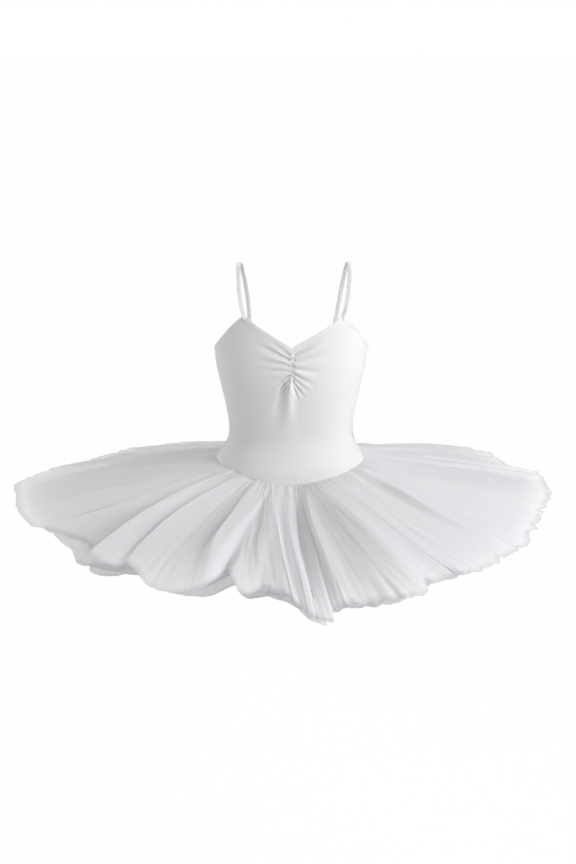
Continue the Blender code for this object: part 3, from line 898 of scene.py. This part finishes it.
def bandSection(width, wall, top):
    # a folded band seen from its end: round at the top edge, thinner at the lower one
    places = []
    for angle in np.linspace(90, 270, 7):
        places.append((-top + 0.5 * wall * 0.9 + 0.5 * wall * 0.9 * math.cos(math.radians(angle)), 0.5 * wall * math.sin(math.radians(angle))))
    places += [(width * 0.55, -0.5 * wall), (width - 0.0006, -0.46 * wall)]
    for angle in np.linspace(-70, 70, 5):
        places.append((width - 0.0006 + 0.0006 * math.cos(math.radians(angle)), 0.5 * wall * 0.86 * math.sin(math.radians(angle))))
    places += [(width - 0.0006, 0.46 * wall), (width - 0.0013, 0.40 * wall)]
    places += [(width * 0.55, 0.52 * wall), (width * 0.25, 0.54 * wall)]
    return places


def makeEdgeBinding(name, azimuths, width):
    azimuths = np.asarray(azimuths, float)
    height = topEdge(azimuths)
    outward = surfaceNormal(formPoint, azimuths, height, 0.5, 0.001)
    outward *= np.sign(np.sum(outward * formPoint(azimuths, 0 * height), axis=-1, keepdims=True))
    down = unit(formPoint(azimuths, height - 0.002) - formPoint(azimuths, height + 0.002))
    edge = formPoint(azimuths, height)
    run = unit(np.gradient(edge, axis=0))
    across = unit(down - run * np.sum(down * run, axis=-1, keepdims=True))
    middle = edge + outward * (bodice["outside"] - bodice["wall"] / 2)
    section = bandSection(width, bindings["wall"], bindings["overEdge"])
    piece = sweptPiece(name, middle, across, outward, section)
    piece.data.materials.append(binding)
    line = middle + across * (width - bindings["stitchIn"] - 0.0006) + outward * (0.47 * bindings["wall"])
    addStitchLine(line[2:-2], outward[2:-2])
    return piece


def makeLegBinding(name, side):
    turns = edges["crotchTurn"] * (np.linspace(0, 1, 50)) ** 0.9
    path = [(float(legAzimuth(turn, False)), turn) for turn in turns]
    path += [(180 - float(legAzimuth(turn, True)), turn) for turn in turns[::-1][1:-1]]
    azimuths = np.array([place[0] for place in path]) * side
    turns = np.array([place[1] for place in path])
    edge = capPoint(azimuths, turns, brief["outside"])
    run = unit(np.roll(edge, -1, axis=0) - np.roll(edge, 1, axis=0))
    outward = unit(edge - np.array((0, 0, figure["capTop"] - figure["strapTop"] + 0.02)) * np.ones_like(edge))
    outward = unit(outward - run * np.sum(outward * run, axis=-1, keepdims=True))
    across = unit(np.cross(outward, run)) * side
    # across has to lead over the cloth, away from the opening
    opening = edge.mean(axis=0)
    if np.mean(np.sum(across * (edge - opening), axis=-1)) < 0:
        across = -across
    section = bandSection(bindings["width"], bindings["wall"], bindings["overEdge"])
    piece = sweptPiece(name, edge, across, outward, section, closed=True)
    piece.data.materials.append(binding)
    line = edge + across * (bindings["width"] - bindings["stitchIn"] - 0.0006) + outward * (0.47 * bindings["wall"])
    addStitchLine(np.concatenate((line, line[:1])), np.concatenate((outward, outward[:1])))
    return piece


cornerMiddle = (edges["cornerStart"] + edges["cornerEnd"]) / 2
neckAzimuths = np.linspace(-cornerMiddle - 0.4, cornerMiddle + 0.4, 150)
neckBinding = makeEdgeBinding("neckBinding", neckAzimuths, bindings["width"])
armAzimuths = np.concatenate((np.linspace(cornerMiddle - 0.4, 90, 60)[:-1], np.linspace(90, 180, 90)))
armholeLeft = makeEdgeBinding("armholeBindingLeft", armAzimuths, bindings["armholeWidth"])
armholeRight = makeEdgeBinding("armholeBindingRight", -armAzimuths, bindings["armholeWidth"])
legLeft = makeLegBinding("legBindingLeft", 1)
legRight = makeLegBinding("legBindingRight", -1)

straps = {
    "width": 0.0062,
    "wall": 0.0019,
    # across, front to back, height over the hip seam
    "route": [
        (0.0716, -0.0655, 0.2300), (0.0730, -0.0636, 0.2344), (0.0782, -0.0612, 0.2520), (0.0818, -0.0480, 0.2770),
        (0.0832, -0.0270, 0.2960), (0.0832, 0.0000, 0.3058), (0.0810, 0.0260, 0.2990), (0.0774, 0.0460, 0.2780),
        (0.0732, 0.0595, 0.2500), (0.0690, 0.0680, 0.2140), (0.0645, 0.0728, 0.1720), (0.0597, 0.0712, 0.1280),
        (0.0592, 0.0702, 0.1215),
    ],
}


def makeStrap(name, side):
    knots = [(index, *row) for index, row in enumerate(straps["route"])]
    at = np.linspace(0, len(knots) - 1, 130)
    x, y, height = (tableValue(knots, at, column) for column in (1, 2, 3))
    line = np.stack((x * side + tableValue(figure["rows"], height, 4), y, height - figure["strapTop"]), axis=-1)
    run = unit(np.gradient(line, axis=0))
    upwards = line - np.stack((line[:, 0], 0 * y, 0 * y + edges["vPoint"] - figure["strapTop"]), axis=-1)
    across = unit(np.cross(run, upwards))
    outward = unit(np.cross(across, run))
    half, thick = straps["width"] / 2, straps["wall"] / 2
    section = []
    for angle in np.linspace(0, 360, 24, endpoint=False):
        cosine, sine = math.cos(math.radians(angle)), math.sin(math.radians(angle))
        flat = abs(cosine) ** 0.55 * math.copysign(1, cosine)
        lift = abs(sine) ** 0.6 * math.copysign(1, sine)
        groove = 1 - 0.16 * math.exp(-(flat / 0.16) ** 2)
        section.append((half * flat, thick * lift * groove))
    piece = sweptPiece(name, line, across, outward, section)
    piece.data.materials.append(binding)
    for place in (-0.58, 0.58):
        addStitchLine(line[3:-3] + across[3:-3] * half * place + outward[3:-3] * thick * 0.93, outward[3:-3])
    return piece


strapLeft = makeStrap("strapLeft", 1)
strapRight = makeStrap("strapRight", -1)

# Seam lines on the jersey: two rows beside each side seam
for side in (-1, 1):
    for step in (-1.0, 1.0):
        heights = np.linspace(0.004, 0.172, 60)
        azimuths = np.full(60, side * (90.0 + step))
        outward = unit(formPoint(azimuths, heights) - formPoint(azimuths, heights, -0.01))
        addStitchLine(formPoint(azimuths, heights, bodice["outside"] + 0.0001), outward)


def makeStitches():
    vertices, faces, outwards, offset = [], [], [], 0
    for points, outward in stitchLines:
        vertices.append(points)
        outwards.append(outward)
        faces += [(offset + i, offset + i + 1) for i in range(len(points) - 1)]
        offset += len(points)
    mesh = bpy.data.meshes.new("stitches")
    mesh.from_pydata(np.concatenate(vertices).tolist(), faces, [])
    attribute = mesh.attributes.new("outward", "FLOAT_VECTOR", "POINT")
    attribute.data.foreach_set("vector", np.ascontiguousarray(np.concatenate(outwards), dtype=np.float32).reshape(-1))
    piece = bpy.data.objects.new("stitches", mesh)
    scene.collection.objects.link(piece)
    runTree(piece, stitchTree, stitchKeys, {
        "Pitch": bindings["stitchPitch"], "Length Share": 0.74, "Thread Width": 0.00055,
        "Unevenness": 0.12, "Seed": 3, "Material": thread,
    })
    piece.data.shade_smooth()
    return piece


stitches = makeStitches()
print("bindings, straps and stitches made")

# Skirt

skirt = {
    "clearance": 0.0006,        # the top layer starts tucked in behind the bodice edge
    "droopEarly": 0.75,
    "settle": 0.006,
    # azimuth, how far the rim reaches from the body's axis, how far it hangs below the seam
    "rim": [
        (-172.0, 0.415, 0.074), (-155.0, 0.438, 0.076), (-138.0, 0.436, 0.070), (-118.0, 0.414, 0.062),
        (-101.0, 0.452, 0.062), (-88.0, 0.430, 0.058), (-70.0, 0.418, 0.054), (-55.0, 0.394, 0.058),
        (-45.0, 0.412, 0.060), (-37.0, 0.372, 0.060), (-29.0, 0.392, 0.064), (-24.0, 0.392, 0.066),
        (-17.0, 0.366, 0.064), (-11.0, 0.376, 0.068), (-6.0, 0.362, 0.067), (-2.0, 0.372, 0.068), (1.6, 0.390, 0.070),
        (5.4, 0.428, 0.072), (7.0, 0.436, 0.072), (7.7, 0.432, 0.071), (8.3, 0.404, 0.070),
        (18.0, 0.408, 0.065), (25.5, 0.420, 0.063),
        (29.5, 0.396, 0.062), (44.0, 0.402, 0.061), (52.0, 0.396, 0.062), (60.0, 0.398, 0.070),
        (67.0, 0.394, 0.060), (78.0, 0.398, 0.053), (88.0, 0.412, 0.051), (100.0, 0.420, 0.055), (109.0, 0.410, 0.055),
        (118.0, 0.414, 0.055), (126.0, 0.424, 0.060), (133.0, 0.432, 0.066),
        (145.0, 0.412, 0.072), (160.0, 0.390, 0.074),
    ],
    # where layers stop short and the next ones show: azimuth, shorter for each layer
    "trims": [
        (-180.0, 0.0, 0.0, 0.0, 0.0), (-65.0, 0.0, 0.0, 0.0, 0.0), (-58.0, 0.026, -0.010, -0.012, -0.012),
        (-50.0, 0.034, -0.012, -0.024, -0.024), (-44.5, 0.016, -0.010, -0.010, -0.010), (-39.0, 0.003, 0.0, 0.0, 0.0),
        (-35.0, 0.0, 0.0, 0.0, 0.0), (-24.0, 0.0, 0.0, 0.0, 0.010), (-20.0, 0.0, 0.040, 0.026, 0.014),
        (-18.2, 0.001, 0.066, 0.048, 0.024), (-17.4, 0.012, 0.078, 0.060, 0.030), (-16.7, 0.036, 0.084, 0.066, 0.034),
        (-15.9, 0.050, 0.086, 0.068, 0.036),
        (-13.0, 0.031, 0.075, 0.050, 0.020), (-10.5, 0.013, 0.050, 0.036, 0.016), (-8.5, 0.008, 0.020, 0.016, 0.014),
        (-6.5, 0.018, 0.006, 0.010, 0.014), (-3.5, 0.016, 0.006, 0.008, 0.010), (-0.5, 0.008, 0.003, 0.004, 0.005),
        (2.5, 0.0, 0.0, 0.0, 0.0), (26.0, 0.0, 0.0, 0.0, 0.0), (34.0, 0.005, -0.003, 0.0, 0.0),
        (42.0, 0.0, 0.0, 0.0, 0.0),
        (100.0, 0.0, 0.0, 0.0, 0.0), (162.0, 0.0, 0.0, 0.0, 0.0), (168.0, 0.016, -0.006, 0.0, 0.0),
        (174.0, 0.0, 0.0, 0.0, 0.0),
    ],
    # per layer: below the seam, shorter, lower, share of the top layer's folds, turn of its folds, seed
    "layers": [
        (-0.0008, 0.000, 0.000, 1.00, 0.0, 1.0),
        (0.0095, 0.019, 0.007, 0.75, 0.8, 7.0),
        (0.0175, 0.036, 0.015, 0.60, -1.0, 13.0),
        (0.0255, 0.054, 0.028, 0.45, 2.6, 19.0),
    ],
    # folds: azimuth at the seam, one third, two thirds and the rim, steep side, steep and gentle width in degrees,
    # height in millimetres at the same four places
    "folds": [
        (-78.0, -88.0, -92.0, -94.0, -1, 9.0, 10.0, 1.0, 3.0, 4.0, 4.0),
        (-74.0, -80.0, -82.5, -84.0, -1, 6.5, 7.0, 0.3, 1.5, 3.0, 3.5),
        (-69.0, -71.5, -74.0, -76.0, -1, 6.5, 7.0, 0.3, 2.5, 5.0, 5.5),
        (-65.5, -66.0, -67.0, -69.0, -1, 7.5, 7.0, 0.3, 1.5, 2.5, 4.0),
        (-62.0, -60.0, -60.0, -63.0, -1, 3.5, 8.0, 2.0, 7.0, 10.0, 9.0),
        (-54.5, -50.5, -47.0, -44.0, -1, 3.6, 6.5, 3.0, 12.0, 17.0, 15.0),
        (-43.5, -41.5, -39.0, -36.5, -1, 3.2, 7.0, 3.0, 10.0, 14.0, 12.0),
        (-27.5, -22.5, -20.0, -17.0, -1, 4.6, 12.5, 1.5, 11.0, 17.0, 7.0),
        (-20.5, -12.5, -8.0, -4.2, -1, 3.6, 8.0, 0.3, 1.8, 3.4, 4.5),
        (-18.0, -8.3, -3.8, -0.2, 1, 3.4, 7.0, 1.0, 5.0, 8.5, 8.0),
        (0.0, 1.0, 3.0, 4.0, -1, 2.6, 4.0, 0.3, 1.2, 2.0, 2.0),
        (5.6, 5.2, 5.2, 5.4, 1, 4.4, 6.0, -1.0, -14.0, -13.0, -2.0),
        (11.5, 10.0, 10.5, 11.0, -1, 2.2, 4.0, 1.0, 4.0, 5.0, 4.0),
        (22.0, 25.0, 27.0, 28.0, -1, 14.0, 12.0, 1.5, 14.0, 14.0, 4.0),
        (41.0, 36.5, 35.5, 38.0, -1, 4.5, 7.0, 1.0, 4.5, 3.0, 1.0),
        (62.0, 55.0, 54.0, 60.0, -1, 4.6, 12.0, 1.5, 10.0, 6.0, 4.0),
        (72.0, 75.0, 80.0, 84.0, -1, 7.0, 9.0, 1.0, 3.0, 4.0, 3.0),
    ],
    "lean": 0.5,
    "scallops": 46,
    "scallopDepth": 0.0085,
    # where the scallops show: azimuth, share
    "scallopShare": [
        (-180, 0.6), (-110, 0.3), (-68, 0.15), (-52, 0.5), (-20, 0.4), (12, 0.6), (35, 1.0), (60, 0.9), (74, 0.2),
        (120, 0.25),
    ],
    # where the rim lifts and shows what lies under it: azimuth, width to both sides, rise, and the share of the
    # rise in the lower layers
    "arches": [(-14.0, 3.0, 5.2, 0.013, 0.0), (173.0, 6.0, 5.0, 0.022, 0.5)],
    "archStarts": 0.72,
    "backFolds": 15,
    # where the fine pleats of the rim show: azimuth, share
    "flutes": [
        (-180, 0.5), (-110, 0.2), (-80, 0.15), (-50, 0.2), (-20, 0.15), (0, 0.25), (14, 0.9), (40, 0.6), (62, 0.8),
        (84, 0.5), (120, 0.4),
    ],
}


def foldList():
    # the photograph's folds, and similar ones made by rule round the sides and back
    folds = [list(row) for row in skirt["folds"]]
    random = np.random.default_rng(5)
    count = skirt["backFolds"]
    low, high = 92.0, 258.0
    for index in range(count):
        middle = low + (high - low) * (index + 0.5) / count + random.uniform(-2.5, 2.5)
        drift = random.uniform(-3, 3)
        side = 1 if random.random() < 0.5 else -1
        tall = random.uniform(5, 11) * (0.55 if middle > 195 else 1)
        folds.append([middle - drift, middle - drift / 3, middle + drift / 3, middle + drift, side,
                      random.uniform(3.5, 6), random.uniform(7, 11), 1.5, 0.7 * tall, tall, tall * random.uniform(0.8, 1.2)])
    return sorted(folds, key=lambda fold: fold[1] + fold[2])


folds = foldList()
foldMiddles = np.array([(fold[1] + fold[2]) / 2 for fold in folds])


def guideAzimuth(guide, along):
    # lines of the cloth's columns: they run with the folds from seam to rim
    shifts = np.zeros((len(folds), along.shape[0]))
    for index, fold in enumerate(folds):
        rows = [(0.0, fold[0]), (0.33, fold[1]), (0.67, fold[2]), (1.0, fold[3])]
        shifts[index] = tableValue(rows, along, 1) - foldMiddles[index]
    result = np.empty((len(along), len(guide)))
    places = np.concatenate((foldMiddles[-1:] - 360, foldMiddles, foldMiddles[:1] + 360))
    for row in range(len(along)):
        values = np.concatenate((shifts[-1:, row], shifts[:, row], shifts[:1, row]))
        wrapped = (guide - places[0]) % 360 + places[0]
        result[row] = guide + np.interp(wrapped, places, values)
    return result


def foldHeight(guide, along, turn):
    # height of all folds, and how far their crests lean sideways, in metres
    height = np.zeros((len(along), len(guide)))
    lean = np.zeros_like(height)
    for index, fold in enumerate(folds):
        side, steep, gentle = fold[4:7]
        tall = tableValue([(0.0, fold[7]), (0.33, fold[8]), (0.67, fold[9]), (1.0, fold[10])], along, 1)[:, None] / 1000
        offset = (guide - foldMiddles[index] - turn + 180) % 360 - 180
        offset = (offset * side)[None]
        softer = 0.75 + 0.7 * along[:, None] ** 2 + 1.3 * (1 - along[:, None]) ** 4
        down = 1 - eased(offset / (steep * softer))
        back = np.clip(1 + offset / gentle, 0, 1) ** 1.5
        shape = np.where(offset >= 0, down, back)
        height += tall * shape
        lean += side * tall * shape ** 2
    return height, lean


def skirtSurface(azimuth, along, layer):
    belowSeam, shorter, lower = layer[:3]
    shorter = shorter + tableValue(skirt["trims"], azimuth, skirt["layers"].index(layer) + 1, 360)
    sewnHeight = seamHeight(azimuth) - belowSeam
    sewnRadius = formRadius(azimuth, sewnHeight) + skirt["clearance"]
    reach = tableValue(skirt["rim"], azimuth, 1, 360) - shorter
    drop = tableValue(skirt["rim"], azimuth, 2, 360) + lower - belowSeam
    radius = sewnRadius + (reach - sewnRadius) * along
    fall = drop * (skirt["droopEarly"] * along + (1 - skirt["droopEarly"]) * along ** 2)
    return radius, sewnHeight - fall


def makeSkirtLayer(number, columns, rings):
    layer = skirt["layers"][number - 1]
    share, turn, seed = layer[3:6]
    guide = np.linspace(-180, 180, columns, endpoint=False)
    extra = []
    for fold, middle in zip(folds, foldMiddles):
        extra += [middle + turn + fold[4] * fold[5] * step for step in np.linspace(0, 1.1, 7)]
        extra.append(middle + turn - fold[4] * 0.15)
    guide = np.unique(np.round(np.concatenate((guide, (np.array(extra) + 180) % 360 - 180)), 3))
    along = np.linspace(0, 1, rings) ** 1.15
    azimuth = guideAzimuth(guide, along)
    height, lean = foldHeight(guide, along, turn)
    height, lean = height * share, lean * share
    ring = along[:, None]
    radius, level = skirtSurface(azimuth, ring, layer)
    azimuth = azimuth + np.degrees(skirt["lean"] * lean / radius)
    random = np.random.default_rng(int(seed))
    waves = sum(random.uniform(0.4, 1) / k ** 0.5 * np.sin(np.radians(guide) * k + random.uniform(0, 6.28))
                for k in (23, 31, 47, 61, 83))
    trim = 0.0016 * waves * eased((ring - 0.55) / 0.45)
    ragged = sum(np.sin(np.radians(guide) * k + random.uniform(0, 6.28)) for k in (67, 97, 139))
    trim = trim + 0.0021 * ragged * tableValue(skirt["flutes"], azimuth, 1, 360) * eased((ring - 0.8) / 0.2)
    # the hem is cut by hand in uneven scallops that meet in small points
    scallop = np.abs(np.sin(np.radians(guide) * skirt["scallops"] / 2 + 1.4 * np.sin(np.radians(guide) * 7 + seed)))
    deep = skirt["scallopDepth"] * tableValue(skirt["scallopShare"], azimuth, 1, 360)
    trim = trim - deep * (1 - scallop) ** 1.6 * eased((ring - 0.86) / 0.14)
    puff = 0.0018 * np.sin(np.clip(ring / 0.14, 0, 1) * math.pi)
    slope = 0.20
    lift = height - skirt["settle"] * ring + puff
    for middle, before, after, rise, below in skirt["arches"]:
        offset = (azimuth - middle + 180) % 360 - 180
        width = np.where(offset < 0, before, after)
        peak = np.clip(1 - np.abs(offset) / width, 0, 1) ** 1.15
        outer = eased((ring - skirt["archStarts"]) / (1 - skirt["archStarts"])) ** 0.8
        lift = lift + rise * (1 if number == 1 else below) * peak * outer
    points = roundPoint(azimuth, radius + trim + slope * lift, level + lift)
    around = np.broadcast_to((guide + 180) / 360, azimuth.shape)
    flutes = tableValue(skirt["flutes"], azimuth, 1, 360) * eased((ring - 0.60) / 0.4) ** 2
    values = {"around": around, "along": np.broadcast_to(ring, azimuth.shape), "flutes": flutes}
    cloth = clothPlaces(points, closed=True)
    piece = gridPiece(f"skirtLayer{number}", points, cloth, closed=True, values=values, flip=True)
    runTree(piece, tulleTree, tulleKeys, {
        "Gathers": 96.0, "Gather Height": 0.0012, "Gather Length": 0.20,
        "Creases": 34.0, "Crease Height": 0.0042,
        "Fine Pleats": 150.0, "Fine Pleat Height": 0.0016,
        "Crumple Height": 0.008 if number == 1 else 0.012, "Crumple Size": 13.0,
        "Seed": seed, "Material": tulle,
    })
    piece.data.shade_smooth()
    return piece


skirtLayers = [makeSkirtLayer(1, 900, 44)]
for number in (2, 3, 4):
    skirtLayers.append(makeSkirtLayer(number, 520, 26))
print("skirt made")

# Which CAD nodes the pieces stand for, and what each cut cloth is

pieces = [
    (bodiceFront, "bodice_front", "stretch_cloth"), (bodiceBack, "bodice_back", "stretch_cloth"),
    (briefFront, "brief_front", "stretch_cloth"), (briefBack, "brief_back", "stretch_cloth"),
    (neckBinding, "neck_binding", "binding"), (armholeLeft, "armhole_binding_left", "binding"),
    (armholeRight, "armhole_binding_right", "binding"), (legLeft, "leg_binding_left", "binding"),
    (legRight, "leg_binding_right", "binding"),
    (strapLeft, "strap_left", "binding"), (strapRight, "strap_right", "binding"),
    (skirtLayers[0], "skirt_layer_1", "tulle"), (skirtLayers[1], "skirt_layer_2", "tulle"),
    (skirtLayers[2], "skirt_layer_3", "tulle"), (skirtLayers[3], "skirt_layer_4", "tulle"),
]
for piece, node, slot in pieces:
    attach(piece, "root")
    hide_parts(node)
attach(stitches, "root")

# Floor, light and tone

studio = {
    "floor": -1.02,
    "floorReach": 400.0,
    "floorSeenWhite": 0.985,
    "worldFill": 0.06,
    # name, power, width and height, place, aim, colour
    "lights": [
        ("rightFront", 54.0, (1.4, 1.4), (1.9, -1.6, 0.6), (0, 0, -0.25), (1.0, 0.995, 1.0)),
        ("rightHigh", 20.0, (1.4, 1.4), (1.7, -0.4, 1.6), (0, 0, -0.25), (1.0, 1.0, 1.0)),
        ("behind", 34.0, (2.4, 2.4), (0.0, 2.0, 1.6), (0, 0, -0.3), (1.0, 1.0, 1.0)),
        ("left", 25.0, (1.6, 1.6), (-2.2, -0.8, 0.6), (0, 0, -0.3), (1.0, 0.985, 0.965)),
        ("leftBehind", 13.0, (1.6, 1.6), (-2.2, 1.0, 0.4), (0, 0, -0.25), (1.0, 0.99, 0.98)),
    ],
}


def makeFloor():
    mesh = bpy.data.meshes.new("floor")
    far = studio["floorReach"]
    corners = [(-far, -far), (far, -far), (far, far), (-far, far)]
    mesh.from_pydata([(x, y, studio["floor"]) for x, y in corners], [], [(0, 1, 2, 3)])
    floor = bpy.data.objects.new("floor", mesh)
    scene.collection.objects.link(floor)
    material, tree, shader, output = startMaterial("paleFloor")
    noise = tree.nodes.new("ShaderNodeTexNoise")
    noise.inputs["Scale"].default_value = 3
    ramp = tree.nodes.new("ShaderNodeMapRange")
    ramp.inputs["To Min"].default_value = 0.90
    ramp.inputs["To Max"].default_value = 0.93
    tree.links.new(objectPlace(tree), noise.inputs["Vector"])
    tree.links.new(noise.outputs["Fac"], ramp.inputs["Value"])
    tree.links.new(ramp.outputs["Result"], shader.inputs["Base Color"])
    shader.inputs["Roughness"].default_value = 0.9
    # the camera sees it as a lit white table, the object gets only what it reflects
    lit = tree.nodes.new("ShaderNodeEmission")
    path = tree.nodes.new("ShaderNodeLightPath")
    share = mathNode(tree, "MULTIPLY", path.outputs["Is Camera Ray"], studio["floorSeenWhite"])
    mix = tree.nodes.new("ShaderNodeMixShader")
    tree.links.new(share, mix.inputs["Fac"])
    tree.links.new(shader.outputs[0], mix.inputs[1])
    tree.links.new(lit.outputs[0], mix.inputs[2])
    tree.links.new(mix.outputs[0], output.inputs["Surface"])
    mesh.materials.append(material)


def makeLight(name, power, size, place, target, colour):
    data = bpy.data.lights.new(name, "AREA")
    data.shape = "RECTANGLE"
    data.size, data.size_y = size
    data.energy = power
    data.color = colour
    light = bpy.data.objects.new(name, data)
    light.location = place
    light.rotation_euler = (Vector(target) - Vector(place)).to_track_quat("-Z", "Y").to_euler()
    scene.collection.objects.link(light)


def makeWorld():
    world = bpy.data.worlds.new("studio")
    scene.world = world
    world.use_nodes = True
    tree = world.node_tree
    tree.nodes.clear()
    output = tree.nodes.new("ShaderNodeOutputWorld")
    seen = tree.nodes.new("ShaderNodeBackground")
    seen.inputs["Color"].default_value = (1, 1, 1, 1)
    fill = tree.nodes.new("ShaderNodeBackground")
    fill.inputs["Color"].default_value = (0.97, 0.98, 1.0, 1)
    fill.inputs["Strength"].default_value = studio["worldFill"]
    path = tree.nodes.new("ShaderNodeLightPath")
    mix = tree.nodes.new("ShaderNodeMixShader")
    tree.links.new(path.outputs["Is Camera Ray"], mix.inputs["Fac"])
    tree.links.new(fill.outputs[0], mix.inputs[1])
    tree.links.new(seen.outputs[0], mix.inputs[2])
    tree.links.new(mix.outputs[0], output.inputs["Surface"])


makeFloor()
makeWorld()
for light in studio["lights"]:
    makeLight(*light)
scene.view_settings.view_transform = "Standard"
scene.view_settings.look = "None"
print("studio made")
